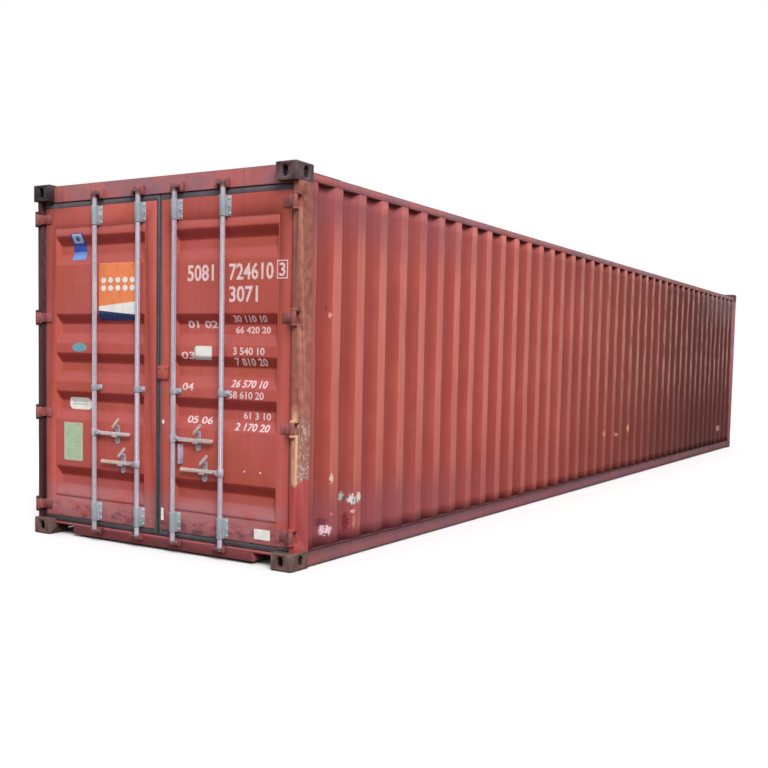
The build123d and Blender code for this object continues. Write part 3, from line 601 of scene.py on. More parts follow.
# %% [markdown]
# ## Turning modifiers into plain pieces
# A piece is finished only when it is a plain mesh at the origin that rides on its body. Modifiers and
# Geometry Nodes do the shaping, new_from_object reads the result, and the modifiers go. A packed
# part can also be softened: its loose triangles are merged, flat faces joined, and its square
# edges rounded by a Bevel, because rolled and cast steel never has knife edges.

# %% Making and settling pieces
def settle(piece, body, slot, *stands_for, smooth=35):
    """Apply what shapes a piece, shade it, and tie it to its body. Edges over the angle smooth stay
    sharp; 0 keeps none of them sharp, and None leaves the faces flat."""
    mesh = bpy.data.meshes.new_from_object(piece.evaluated_get(bpy.context.evaluated_depsgraph_get()))
    piece.modifiers.clear()
    piece.data = mesh
    mesh.name = piece.name
    if smooth is not None:
        mesh.shade_smooth()
    if smooth:
        mesh.set_sharp_from_angle(angle=math.radians(smooth))
    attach(piece, body)
    if stands_for:
        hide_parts(*stands_for)
    return piece


def grow(name, tree, values, mesh=None):
    """An object that a Geometry Nodes tree shapes."""
    made = host(name, mesh)
    modifier = made.modifiers.new("grow", "NODES")
    modifier.node_group = tree
    for item in tree.interface.items_tree:
        if item.item_type == "SOCKET" and item.in_out == "INPUT" and item.name in values:
            modifier[item.identifier] = values[item.name]
    return made


def thicken(piece, thick):
    """Give a sheet its thickness, behind the face that shows."""
    solid = piece.modifiers.new("thickness", "SOLIDIFY")
    solid.thickness, solid.offset = thick, -1


def made_of(name, mesh, body, slot, material, width, *stands_for, segments=2, angle=40):
    """A piece from a mesh, with its square edges rounded."""
    mesh.materials.append(material)
    piece = host(name, mesh)
    bevel = piece.modifiers.new("edges", "BEVEL")
    bevel.width, bevel.segments, bevel.harden_normals = width, segments, True
    bevel.limit_method, bevel.angle_limit = "ANGLE", math.radians(angle)
    return settle(piece, body, slot, *stands_for, smooth=angle)


def soften(node, width, material, segments=2, angle=40):
    """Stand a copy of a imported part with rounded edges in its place."""
    source = nodes[node]
    slot = source.data.materials[0].name.split(".")[0]
    mesh = source.data.copy()
    made = bmesh.new()
    made.from_mesh(mesh)
    bmesh.ops.remove_doubles(made, verts=made.verts, dist=1e-5)
    bmesh.ops.dissolve_limit(made, angle_limit=math.radians(0.6), verts=made.verts, edges=made.edges)
    made.to_mesh(mesh)
    made.free()
    mesh.materials.clear()
    made_of(node + "_finished", mesh, source["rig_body"], slot, material, width, node,
            segments=segments, angle=angle)


print("helpers ready")

# %% [markdown]
# ## Corrugated walls
# A side wall is one long sheet, pressed into forty-two recesses so that a thin plate carries a stack
# of boxes. Each recess is a flat between two slopes. A ping-pong of the distance along the sheet
# says how far a point is from the nearest recess, and a clamp of that distance gives the slope, so
# one Geometry Nodes tree can fold any such sheet. Noise adds the shallow waves and the dents that
# years of handling leave, and a stored attribute tells the paint where the ridges are.

# %% Corrugated sheet tree
def deliver(shape):
    """End a Geometry Nodes tree: plain mesh, with its finish."""
    real = put("GeometryNodeRealizeInstances", {0: shape})
    feed(gives, {0: put("GeometryNodeSetMaterial", {"Geometry": real, "Material": given["Finish"]})})


sheet, given, gives = group(
    "corrugated_sheet",
    dict(Run=1.0, Rise=1.0, Columns=100, Rows=20, Pitch=0.28, First=0.15, Inner=0.035, Slope=0.068,
         Depth=0.036, Waves=0.002, Dents=0.01, Seed=0.0, Finish=FINISH),
    dict(Geometry=SHAPE), "GeometryNodeTree",
)
grid = put("GeometryNodeMeshGrid", {
    "Size X": given["Run"], "Size Y": given["Rise"],
    "Vertices X": given["Columns"], "Vertices Y": given["Rows"]})
here = put("GeometryNodeInputPosition")
x, y, z = apart(here)
away = calc("PINGPONG", x + given["Run"] / 2.0 - given["First"], given["Pitch"] / 2.0)
ramp = calc("DIVIDE", given["Inner"] + given["Slope"] - away, given["Slope"], clamp=True)
fold = ramp * 0.4 + span(ramp, 0, 1) * 0.6
seed = put("ShaderNodeCombineXYZ", dict.fromkeys(range(3), given["Seed"]))
moved = put("ShaderNodeVectorMath", {0: here, 1: seed}, operation="ADD")
free = span(given["Rise"] / 2.0 - abs(y), 0.0, 0.35)
wave = (noise(moved, 2.6, 2.0) - 0.3) * given["Waves"]
dent = span(noise(moved, 1.5, 1.0), 0.55, 0.78) * given["Dents"] * span(x, -1.0, 5.0, 0.35, 1.0)
back = fold * given["Depth"] + calc("MAXIMUM", wave + dent, 0.0) * free
offset = put("ShaderNodeCombineXYZ", {2: back * -1.0})
folded = put("GeometryNodeSetPosition", {"Geometry": grid, "Offset": offset})
deliver(put("GeometryNodeStoreNamedAttribute", {"Geometry": folded, "Name": "ridge", "Value": 1.0 - fold},
            data_type="FLOAT", domain="POINT"))
print("sheet tree", len(sheet.nodes), "nodes")

# %% Two side walls and the front wall
sheet_thick = 0.002
rail_low, fitting_top, wall_head, rail_head = 0.013, 0.118, 2.487, 2.537


def wall(node, turn, levels, out, count, end_flat, inner, slope, **press):
    """Fold a sheet with a flat at each end, stand it up with turn between two levels, and put it
    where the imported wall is."""
    low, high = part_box(node)
    run = max(high.x - low.x, high.y - low.y)
    recess = inner + 2 * slope
    pitch = recess + (run - 2 * end_flat - count * recess) / (count - 1)
    piece = grow(node + "_sheet", sheet, dict(
        press, Run=run, Rise=levels[1] - levels[0], Pitch=pitch, First=end_flat + recess / 2,
        Inner=inner / 2, Slope=slope, Finish=wall_paint))
    thicken(piece, sheet_thick)
    settle(piece, "root", "shell_paint", node, smooth=0)
    turn = turn.to_4x4()
    turn.translation = (*out, (levels[0] + levels[1]) / 2)
    mesh = piece.data
    mesh.transform(turn)
    mesh.materials.clear()
    mesh.materials.append(wall_paint)
    mesh.materials.append(inside_paint)
    normals = np.zeros(len(mesh.polygons) * 3)
    mesh.polygons.foreach_get("normal", normals)
    outward = np.array(turn.to_3x3() @ Vector((0, 0, 1)))
    inward = (normals.reshape(-1, 3) @ outward < -0.05).astype(np.int32)
    mesh.polygons.foreach_set("material_index", inward)
    print(piece.name, "pitch", round(pitch, 4), "triangles", len(mesh.polygons) * 2)


for name, side, seed in (("left", 1, 31.0), ("right", -1, 12.0)):
    low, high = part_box(f"side_wall_{name}")
    wall(f"side_wall_{name}", Matrix(((-side, 0, 0), (0, 0, side), (0, 1, 0))), (fitting_top, wall_head),
         (0, high.y if side > 0 else low.y), 42, 0.048, 0.070, 0.068,
         Depth=0.036, Columns=1180, Rows=27, Waves=0.0035, Dents=0.016, Seed=seed)
low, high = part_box("front_wall")
wall("front_wall", Matrix(((0, 0, 1), (1, 0, 0), (0, 1, 0))), (low.z, high.z),
     (high.x, 0), 8, 0.070, 0.104, 0.020,
     Depth=0.045, Columns=530, Rows=21, Waves=0.003, Dents=0.010, Seed=5.0)

# %% [markdown]
# ## Sheets with separate pressings
# The roof has shallow troughs that stop before the rails, and each door panel has five stamped
# recesses. Their edges need rows of points only where the steel bends, so these sheets are plain
# grids with chosen rows and columns, pushed back by a small function.

# %% Sheets on chosen rows
def lines(*places):
    """Rows or columns of a sheet, in order and each one once."""
    return np.unique(np.concatenate(places).round(5))


def pressed(name, across, upward, depth_at, spot, material):
    """A sheet on chosen columns and rows. spot(u, v, back) says where a point lies."""
    u, v = np.meshgrid(across, upward)
    back = depth_at(u, v)
    points = spot(u, v, back).reshape(-1, 3)
    columns, rows = len(across), len(upward)
    corner = (np.arange(rows - 1)[:, None] * columns + np.arange(columns - 1)).ravel()
    faces = np.stack([corner, corner + 1, corner + columns + 1, corner + columns], 1)
    mesh = bpy.data.meshes.new(name)
    mesh.from_pydata(points.tolist(), [], faces.tolist())
    mesh.materials.append(material)
    share = 1 - back / max(back.max(), 1e-6)
    mesh.attributes.new("ridge", "FLOAT", "POINT").data.foreach_set("value", share.ravel().astype(np.float32))
    piece = host(name, mesh)
    thicken(piece, sheet_thick)
    return piece


def eased(share):
    """A ramp with rounded ends, as a press leaves it."""
    share = np.clip(share, 0, 1)
    return 0.65 * share + 0.35 * share * share * (3 - 2 * share)


def slice_at(made, spot, across, near=0.0):
    """Cut a bmesh along a plane."""
    everything = made.verts[:] + made.edges[:] + made.faces[:]
    bmesh.ops.bisect_plane(made, geom=everything, plane_co=spot, plane_no=across, dist=near)


# %% Roof
low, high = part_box("roof_panel")
trough_pitch, trough_half, trough_slope, trough_depth = 0.209, 0.059, 0.0135, 0.020
rail_wide, shoulder_wide, shoulder_tall = 0.060, 0.100, 0.028
roof_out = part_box("top_side_rail_left")[1].y
eave = roof_out - rail_wide
field_edge = eave - shoulder_wide
eave_level, field_level = rail_head + sheet_thick, rail_head + sheet_thick + shoulder_tall
trough_end, trough_taper = field_edge - 0.020, 0.040
troughs = int((high.x - low.x - trough_pitch) / trough_pitch)
centres = (low.x + high.x) / 2 + (np.arange(troughs) - (troughs - 1) / 2) * trough_pitch
offsets = np.array([0.020, 0.043, 0.048, 0.053, 0.058, 0.063, 0.075])
offsets = np.concatenate([-offsets, offsets])
taper = np.linspace(trough_end - trough_taper - 0.005, trough_end + 0.005, 6)
bend = 0.008
bends = np.array([field_edge - bend, field_edge, field_edge + bend, eave - bend, eave, eave + bend, roof_out])


def trough_depths(x, y):
    near = np.abs(x[..., None] - centres).min(-1)
    ends = (trough_end - np.abs(y)) / trough_taper
    return trough_depth * eased(np.minimum((trough_half - near) / trough_slope, ends))


def roof_level(y):
    """The roof's field is flat, a shoulder comes down from it, and its edge lies on the rail."""
    drop = np.clip((np.abs(y) - field_edge) / shoulder_wide, 0, 1)
    return field_level - (field_level - eave_level) * drop


roof = pressed(
    "roof_panel_sheet", lines([low.x, high.x], (centres[:, None] + offsets).ravel()),
    lines(bends, -bends, np.linspace(-0.98, 0.98, 9), taper, -taper), trough_depths,
    lambda x, y, back: np.stack([x, y, roof_level(y) - back], -1), wall_paint)
fitting_room = 0.115
fitting_start, fitting_side = high.x - fitting_room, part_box("door_header")[1].y - fitting_room
cut = bmesh.new()
cut.from_mesh(roof.data)
slice_at(cut, (fitting_start, 0, 0), (1, 0, 0))
for side in (-1, 1):
    slice_at(cut, (0, side * fitting_side, 0), (0, 1, 0))
middles = [(f, f.calc_center_median()) for f in cut.faces]
gone = [f for f, middle in middles if middle.x > fitting_start and abs(middle.y) > fitting_side]
bmesh.ops.delete(cut, geom=gone, context="FACES")
cut.to_mesh(roof.data)
cut.free()
settle(roof, "root", "shell_paint", "roof_panel", smooth=0)
print("roof", troughs, "troughs,", len(roof.data.polygons) * 2, "triangles")

# %% Door panels
recess_heights = np.array([0.418, 0.976, 1.259, 1.543, 2.111])
recess_half, recess_rise, recess_depth, recess_taper = 0.107, 0.076, 0.036, 0.026


def recess_back(out, z, near, far):
    """How far the door's face lies back at a place; out is the distance from the centre line."""
    up_down = np.abs(np.asarray(z)[..., None] - recess_heights).min(-1)
    sideways = np.minimum(out - near, far - out) - 0.006
    pressed_in = recess_depth * eased(np.minimum((recess_half - up_down) / recess_rise, sideways / recess_taper))
    buckle = np.sin(5.3 * out + 1.9 * z) * np.sin(3.1 * z + 2.0 * out + 0.7) + 0.4 * np.sin(11.0 * out - 7.0 * z)
    return pressed_in + 0.0022 * np.clip(buckle, 0, 1) * eased(sideways / 0.12)


panel_grids = {}
ends = np.concatenate([np.linspace(0, 0.045, 10), [0.09]])
steps = np.linspace(-recess_half - 0.004, recess_half + 0.004, 44)
for name, side in (("left", 1), ("right", -1)):
    low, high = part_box(f"{name}_door_panel")
    near, far = sorted((abs(low.y), abs(high.y)))
    outs = lines(near + ends, far - ends, np.linspace(near, far, 9))
    levels = lines([low.z, high.z], (recess_heights[:, None] + steps).ravel())
    panel_grids[name] = (outs, levels, recess_back(*np.meshgrid(outs, levels), near, far))
    panel = pressed(
        f"{name}_door_panel_sheet", np.sort(side * outs)[::-1], levels,
        lambda y, z: recess_back(np.abs(y), z, near, far),
        lambda y, z, back: np.stack([low.x + back, y, z], -1), door_paint,
    )
    settle(panel, f"{name}_door", "shell_paint", f"{name}_door_panel", smooth=0)
    print(panel.name, len(panel.data.polygons) * 2, "triangles")

# %% [markdown]
# ## Rolled, cast and bent parts
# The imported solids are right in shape, so they only need soft edges and their own finish: a wide
# radius on the castings, a small one on plates, and a full round on the rubber.

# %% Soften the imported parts
for end in ("bottom", "top"):
    soften(f"{end}_corner_fittings", 0.004, casting, 2, 50)
for name in ("left", "right"):
    soften(f"rear_post_{name}", 0.003, post_paint)
    soften(f"front_post_{name}", 0.004, shell_paint)
    soften(f"{name}_door_frame", 0.0022, door_paint)
    soften(f"{name}_door_gasket", 0.0025, rubber)
    soften(f"{name}_door_hinges", 0.0015, gear_paint)
    soften(f"{name}_handle_retainers", 0.0015, zinc)
for node in ("door_header", "front_header", "front_sill"):
    soften(node, 0.003, shell_paint)
soften("door_sill", 0.003, sill_paint)
soften("cam_keepers", 0.0015, gear_paint)
soften("right_door_centre_plate", 0.002, door_paint)
for bar in ("left_outer", "left_inner", "right_inner", "right_outer"):
    soften(f"{bar}_locking_bar", 0.001, zinc, 1)
    soften(f"{bar}_handle", 0.0035, handle_zinc, 3)
    soften(f"{bar}_catch", 0.001, handle_zinc, 1)
nodes["gooseneck_tunnel"].data.materials[0] = shell_paint
nodes["floor_boards"].data.materials[0] = plywood

# %% [markdown]
# ## Rails, guards and guides with the photographed shape
# In the photograph the bottom rails end level with the lower fittings and stand out as a lip under
# the wall, the top rails lie lower than the upper fittings, and each guide is a sleeve as tall as
# its plate. Those forms are made here as prisms of a profile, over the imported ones.

# %% Prisms
def prisms(name, profiles, starts_and_ends, holes=None):
    """Closed prisms along X, one for each profile of (y, z) places and each start and end. A hole is
    a list of as many places, and turns a prism into a tube."""
    made = bmesh.new()
    for index, profile in enumerate(profiles):
        for start, end in starts_and_ends:
            outer = [[made.verts.new((x, y, z)) for y, z in profile] for x in (start, end)]
            if holes:
                inner = [[made.verts.new((x, y, z)) for y, z in holes[index]] for x in (start, end)]
            else:
                made.faces.new(outer[0])
                made.faces.new(outer[1])
            for i in range(len(profile)):
                j = (i + 1) % len(profile)
                made.faces.new((outer[0][i], outer[0][j], outer[1][j], outer[1][i]))
                if holes:
                    made.faces.new((inner[0][i], inner[0][j], inner[1][j], inner[1][i]))
                    for a, b in zip(outer, inner):
                        made.faces.new((a[i], a[j], b[j], b[i]))
    bmesh.ops.recalc_face_normals(made, faces=made.faces)
    mesh = bpy.data.meshes.new(name)
    made.to_mesh(mesh)
    made.free()
    return mesh


# %% Side rails and roof guards
low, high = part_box("top_side_rail_left")
rail_run = [(low.x, high.x)]
lip, rail_sheet, rail_foot, rail_shelf = 0.010, 0.0045, 0.048, 0.042
web, shelf = roof_out - lip, fitting_top - rail_sheet
bottom_rail = [
    (web - rail_foot, rail_low), (web, rail_low), (web, shelf), (roof_out, shelf), (roof_out, fitting_top),
    (roof_out - rail_shelf, fitting_top), (roof_out - rail_shelf, shelf), (web - rail_sheet, shelf),
    (web - rail_sheet, rail_low + rail_sheet), (web - rail_foot, rail_low + rail_sheet),
]
top_rail = [(eave, wall_head), (roof_out, wall_head), (roof_out, rail_head), (eave, rail_head)]
for name, side in (("left", 1), ("right", -1)):
    for label, profile, material, width in (
            ("bottom", bottom_rail, rail_paint, 0.0012), ("top", top_rail, shell_paint, 0.004)):
        node = f"{label}_side_rail_{name}"
        mesh = prisms(node, [[(side * y, z) for y, z in profile]], rail_run)
        made_of(node + "_lipped", mesh, "root", "shell_paint", material, width, node)

guard_long, guard_wide, guard_thick, guard_air = 0.300, 0.260, 0.003, 0.0004
under = [(roof_out - guard_wide, field_level), (field_edge, field_level), (eave, eave_level), (roof_out, eave_level)]
guard = [(y, z + guard_air) for y, z in under] + [(y, z + guard_thick) for y, z in under[::-1]]
mesh = prisms("roof_guards", [[(side * y, z) for y, z in guard] for side in (1, -1)],
              [(low.x, low.x + guard_long), (high.x - guard_long, high.x)])
guards = made_of("roof_guards", mesh, "root", "shell_paint", shell_paint, 0.0008, "roof_corner_plates", segments=1)
print("side rails and guards,", len(guards.data.polygons), "faces in the guards")

# %% Sleeves of the bar guides
guide_spots = {"left": (0.600, 0.171), "right": (-0.171, -0.600)}
guide_levels, guide_middle = (0.2175, 2.3475), 1.120
guide_half, guide_middle_half, guide_plate = 0.068, 0.020, 0.004
plate_long, plate_short = 0.048, 0.024
bar_x, sleeve_radius, bore = -6.068, 0.023, 0.0176
plate_front = door_face - guide_plate
lay = Matrix(((0, 1, 0, 0), (0, 0, 1, 0), (1, 0, 0, 0), (0, 0, 0, 1)))
turns = [math.radians(a) for a in range(90, 271, 15)]
whole_turn = turns + [math.radians(a) for a in (315, 360, 405)]
spans = [(z - guide_half, z + guide_half) for z in guide_levels]
spans.append((guide_middle - guide_middle_half, guide_middle + guide_middle_half))


def arc(y, radius, angles):
    return [(bar_x + radius * math.cos(a), y + radius * math.sin(a)) for a in angles]


for name, bar_ys in guide_spots.items():
    sleeves = [arc(y, sleeve_radius, turns) + [(plate_front, y + step) for step in (-sleeve_radius, 0, sleeve_radius)]
               for y in bar_ys]
    bores = [arc(y, bore, whole_turn) for y in bar_ys]
    plates = [[(plate_front, y - plate_long), (door_face, y - plate_long),
               (door_face, y + plate_short), (plate_front, y + plate_short)] for y in bar_ys]
    for label, profiles, holes, stands_for in (
            ("sleeves", sleeves, bores, [f"{name}_bar_guides"]), ("plates", plates, None, [])):
        mesh = prisms(f"{name}_guide_{label}", profiles, spans, holes)
        mesh.transform(lay)
        made_of(f"{name}_guide_{label}", mesh, f"{name}_door", "zinc", guide_zinc, 0.0012, *stands_for)
print("guides", 2 * len(spans) * len(guide_spots))

# %% Cross members let into the rails
shelf_in, member_end = roof_out - rail_shelf, web - rail_sheet
member_flange, member_sheet, hair = 0.045, 0.004, 0.0005
joined = bmesh.new()
joined.from_mesh(nodes["cross_members"].data)
bmesh.ops.remove_doubles(joined, verts=joined.verts, dist=1e-5)
member_under = min(v.co.z for v in joined.verts)
foot_xs = {round(v.co.x, 4) for v in joined.verts if v.co.y > member_end and v.co.z < member_under + 0.001}
for v in joined.verts:
    if abs(v.co.y) > shelf_in:
        v.co.y = math.copysign(shelf_in - hair, v.co.y)
foot = [(0, 0), (member_flange, 0), (member_flange, member_sheet), (member_sheet, member_sheet)]
feet = [
    [(-x - wide, member_under + tall) for wide, tall in foot] + [(-x - member_sheet, shelf - hair), (-x, shelf - hair)]
    for x in sorted(foot_xs)[::2]
]
mesh = prisms("cross_members_cut", feet, [(-member_end, -shelf_in), (shelf_in, member_end)])
mesh.transform(Matrix.Rotation(math.pi / 2, 4, "Z"))
joined.from_mesh(mesh)
joined.to_mesh(mesh)
joined.free()
mesh.materials.append(shell_paint)
settle(host("cross_members_cut", mesh), "root", "shell_paint", "cross_members", smooth=30)
print("cross members", len(feet), "channels,", len(mesh.polygons), "faces")

# %% [markdown]
# ## Bolts, rivets, screws and rings
# Fasteners repeat, so one Geometry Nodes tree makes them all: it puts a head on every point of a
# mesh of points. A head is a low prism with a narrower top, and a washer under it if wanted. The
# points are given on the face that carries them, in across, up and out, and a matrix then stands
# the finished mesh up in its place.

# %% Fastener tree
fasteners, given, gives = group(
    "fasteners",
    dict(Geometry=SHAPE, Across=0.017, Tall=0.006, Washer=0.024, Sides=6, Finish=FINISH),
    dict(Geometry=SHAPE), "GeometryNodeTree",
)
thin = 0.0015


def prism(sides, low_radius, high_radius, tall, start):
    """A prism that stands on a level, with its top narrower than its foot."""
    inputs = {"Vertices": sides, "Radius Top": high_radius, "Radius Bottom": low_radius, "Depth": tall}
    lift = put("ShaderNodeCombineXYZ", {2: start})
    return put("GeometryNodeTransform", {"Geometry": put("GeometryNodeMeshCone", inputs), "Translation": lift})


radius, wide = given["Across"] / 2.0, given["Washer"] / 2.0
body_tall = given["Tall"] * 0.75
whole = put("GeometryNodeJoinGeometry")
for part in (
    prism(given["Sides"], radius, radius, body_tall, thin),
    prism(given["Sides"], radius, radius * 0.72, given["Tall"] * 0.25, body_tall + thin),
    prism(14, wide, wide * 0.94, thin, 0.0),
):
    feed(whole.node, {0: part})
deliver(put("GeometryNodeInstanceOnPoints", {"Points": given["Geometry"], "Instance": whole}))

door_turn = Matrix(((0, 0, -1, door_face), (-1, 0, 0, 0), (0, 1, 0, 0), (0, 0, 0, 1)))


def fasten(name, body, spots, turn, material, across, tall, washer, sides=6, slot="zinc"):
    """Heads at spots, stood up with turn."""
    mesh = bpy.data.meshes.new(name)
    mesh.from_pydata(spots, [], [])
    values = {"Across": across, "Tall": tall, "Washer": washer, "Sides": sides, "Finish": material}
    piece = settle(grow(name, fasteners, values, mesh), body, slot, smooth=25)
    piece.data.transform(turn)
    print(name, len(spots), "heads,", sum(len(p.vertices) - 2 for p in piece.data.polygons), "triangles")


# %% Bolts, rivets and screws in their places
handle_spots = {"left": ((0.393, 0.794), (0.334, 0.590)), "right": ((-0.378, 0.794), (-0.437, 0.590))}
bolt_out, bolt_step, rivet_step, rivet_up, rivet_out = 0.037, 0.048, 0.016, 0.030, 0.005
for name, bar_ys in guide_spots.items():
    bolts = []
    for y in bar_ys:
        for level in guide_levels:
            bolts += [(bolt_out - y, level + step, guide_plate) for step in (-bolt_step, 0.0, bolt_step)]
        bolts.append((bolt_out - y, guide_middle, guide_plate))
    fasten(f"{name}_guide_bolts", f"{name}_door", bolts, door_turn, handle_zinc, 0.014, 0.0055, 0.019)
    rivets = [(-y + step, z + rivet_up, rivet_out) for y, z in handle_spots[name] for step in (-rivet_step, rivet_step)]
    fasten(f"{name}_retainer_rivets", f"{name}_door", rivets, door_turn, zinc, 0.008, 0.003, 0.009, 10)
low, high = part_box("right_door_centre_plate")
inset = 0.016
corners = [(-y, z, door_face - low.x) for y in (low.y + inset, high.y - inset) for z in (low.z + inset, high.z - inset)]
fasten("centre_plate_bolts", "right_door", corners, door_turn, gear_paint, 0.014, 0.005, 0.018, slot="shell_paint")
screw_tall = 0.0008
screw_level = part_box("floor_boards")[1].z - screw_tall
screw_ys = (-1.10, -0.86, -0.62, -0.30, -0.06, 0.06, 0.30, 0.62, 0.86, 1.10)
screws = [(x, y, screw_level) for x in np.arange(-5.85, 5.9, 0.30) for y in screw_ys]
fasten("floor_screws", "root", screws, Matrix(), zinc, 0.010, screw_tall, 0.012, 8)

# %% Lashing rings along the floor and under the roof
rings, given, gives = group(
    "lashing_rings", dict(Geometry=SHAPE, Radius=0.028, Wire=0.005, Finish=FINISH), dict(Geometry=SHAPE),
    "GeometryNodeTree")


def circle(resolution, radius):
    return put("GeometryNodeCurvePrimitiveCircle", {"Resolution": resolution, "Radius": radius}, mode="RADIUS")


wire = circle(8, given["Wire"])
ring = put("GeometryNodeCurveToMesh", {"Curve": circle(20, given["Radius"]), "Profile Curve": wire})
upright = put("GeometryNodeTransform", {"Geometry": ring, "Rotation": (math.pi / 2, 0, 0)})
deliver(put("GeometryNodeInstanceOnPoints", {"Points": given["Geometry"], "Instance": upright}))
mesh = bpy.data.meshes.new("lashing_rings")
ring_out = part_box("side_wall_left")[1].y - 0.036 - sheet_thick - 0.006
ring_spots = [(x, side * ring_out, z) for x in np.arange(-5.4, 5.5, 1.2) for side in (-1, 1) for z in (0.2010, 2.4300)]
mesh.from_pydata(ring_spots, [], [])
settle(grow("lashing_rings", rings, {"Finish": zinc}, mesh), "root", "zinc", smooth=60)
print("lashing rings", len(ring_spots))

# %% [markdown]
# ## Weld beads
# A welder lays a bead of molten steel along each joint, and paint covers it later. A bead follows a
# path, so the tree turns a path of edges into a curve, lets its radius swell and shrink with noise,
# and sweeps a small circle along it. Most of the bead is sunk in the joint.

# %% Weld bead tree
beads, given, gives = group(
    "weld_beads", dict(Geometry=SHAPE, Radius=0.002, Step=0.012, Finish=FINISH), dict(Geometry=SHAPE),
    "GeometryNodeTree")
line = put("GeometryNodeMeshToCurve", {0: given["Geometry"]})
even = put("GeometryNodeResampleCurve", {"Curve": line, "Length": given["Step"]}, mode="LENGTH")
swell = span(noise(put("GeometryNodeInputPosition"), 60.0, 2.0), 0.35, 0.65, 0.7, 1.1, False)
sized = put("GeometryNodeSetCurveRadius", {"Curve": even, "Radius": swell})
rod = circle(6, given["Radius"])
deliver(put("GeometryNodeCurveToMesh", {"Curve": sized, "Profile Curve": rod, "Fill Caps": True}))


def weld(name, body, paths, material):
    """Beads along paths, each a list of places."""
    points, edges = [], []
    for path in paths:
        edges += [(len(points) + i, len(points) + i + 1) for i in range(len(path) - 1)]
        points += path
    mesh = bpy.data.meshes.new(name)
    mesh.from_pydata(points, edges, [])
    piece = settle(grow(name, beads, {"Finish": material}, mesh), body, "shell_paint", smooth=60)
    print(name, len(piece.data.polygons), "faces")


# %% Beads on the doors and the frame
sunk = door_face + 0.0012
for name in ("left", "right"):
    low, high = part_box(f"{name}_door_panel")
    frame_low, frame_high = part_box(f"{name}_door_frame")
    near, far = sorted((low.y, high.y), key=abs)
    corners = ((near, low.z), (far, low.z), (far, high.z), (near, high.z), (near, low.z))
    joints = [[(sunk, y, start), (sunk, y, end)] for y in (near, far)
              for start, end in ((frame_low.z + 0.003, low.z), (high.z, frame_high.z - 0.003))]
    weld(f"{name}_door_welds", f"{name}_door", [[(sunk, *corner) for corner in corners]] + joints, door_paint)
casting_under, post_face, post_near, side_end = 2.473, -6.060, 1.174, -5.920
header_end, header_low, header_high = 1.0574, 2.478, 2.583
corner_x, corner_out = post_face + 0.0015, cad_high.y - 0.0024
frame_joints = [
    [(corner_x, side * post_near, z), (corner_x, side * corner_out, z), (side_end, side * corner_out, z)]
    for side in (-1, 1) for z in (fitting_top, casting_under)
]
frame_joints += [[(sunk, side * header_end, z) for z in (header_low, header_high)] for side in (-1, 1)]
weld("frame_welds", "root", frame_joints, shell_paint)

# %% [markdown]
# ## Stickers, plates and painted numbers
# Stickers and stencilled numbers follow every fold of the door under them. Each starts as a flat
# shape, across and up. It is cut along the rows and columns of the pressed sheet, so that it can
# bend where the sheet bends, and its points are laid on the sheet with a hair of air between. The
# numbers are plain ones, and the stickers hold plain patterns.

# %% Shapes and drape
mark_lift, mark_step, mark_thick = 0.0009, 0.0004, 0.0007


def square(u0, v0, u1, v1, cut=0.0):
    """A rectangle, with its corners rounded if asked."""
    if not cut:
        return [(u0, v0), (u1, v0), (u1, v1), (u0, v1)]
    centres = ((u1 - cut, v0 + cut, -90), (u1 - cut, v1 - cut, 0), (u0 + cut, v1 - cut, 90), (u0 + cut, v0 + cut, 180))
    return [(u + cut * math.cos(math.radians(start + a)), v + cut * math.sin(math.radians(start + a)))
            for u, v, start in centres for a in range(0, 91, 18)]


def ring_of(u, v, across, up, count=22):
    turns = [2 * math.pi * i / count for i in range(count)]
    return [(u + across * math.cos(a), v + up * math.sin(a)) for a in turns]


def figures(text, u0, v0, u1, v1):
    """Plain numbers that fill a box: their points and faces."""
    curve = bpy.data.curves.new("figures", "FONT")
    curve.body, curve.offset, curve.resolution_u = text, 0.02, 3
    written = host("figures", curve)
    mesh = bpy.data.meshes.new_from_object(written.evaluated_get(bpy.context.evaluated_depsgraph_get()))
    bpy.data.objects.remove(written)
    points = np.array([v.co[:2] for v in mesh.vertices])
    low, high = points.min(0), points.max(0)
    points = (points - low) / (high - low) * (u1 - u0, v1 - v0) + (u0, v0)
    return points.tolist(), [tuple(p.vertices) for p in mesh.polygons]


def lie(name, out, z):
    """How far the pressed sheet lies back, between its rows and columns."""
    outs, levels, backs = panel_grids[name]
    if not outs[0] < out < outs[-1] or not levels[0] < z < levels[-1]:
        return 0.0
    column, row = np.searchsorted(outs, out), np.searchsorted(levels, z)
    s = (out - outs[column - 1]) / (outs[column] - outs[column - 1])
    t = (z - levels[row - 1]) / (levels[row] - levels[row - 1])
    lower, upper = (backs[r, column - 1] * (1 - s) + backs[r, column] * s for r in (row - 1, row))
    return lower * (1 - t) + upper * t


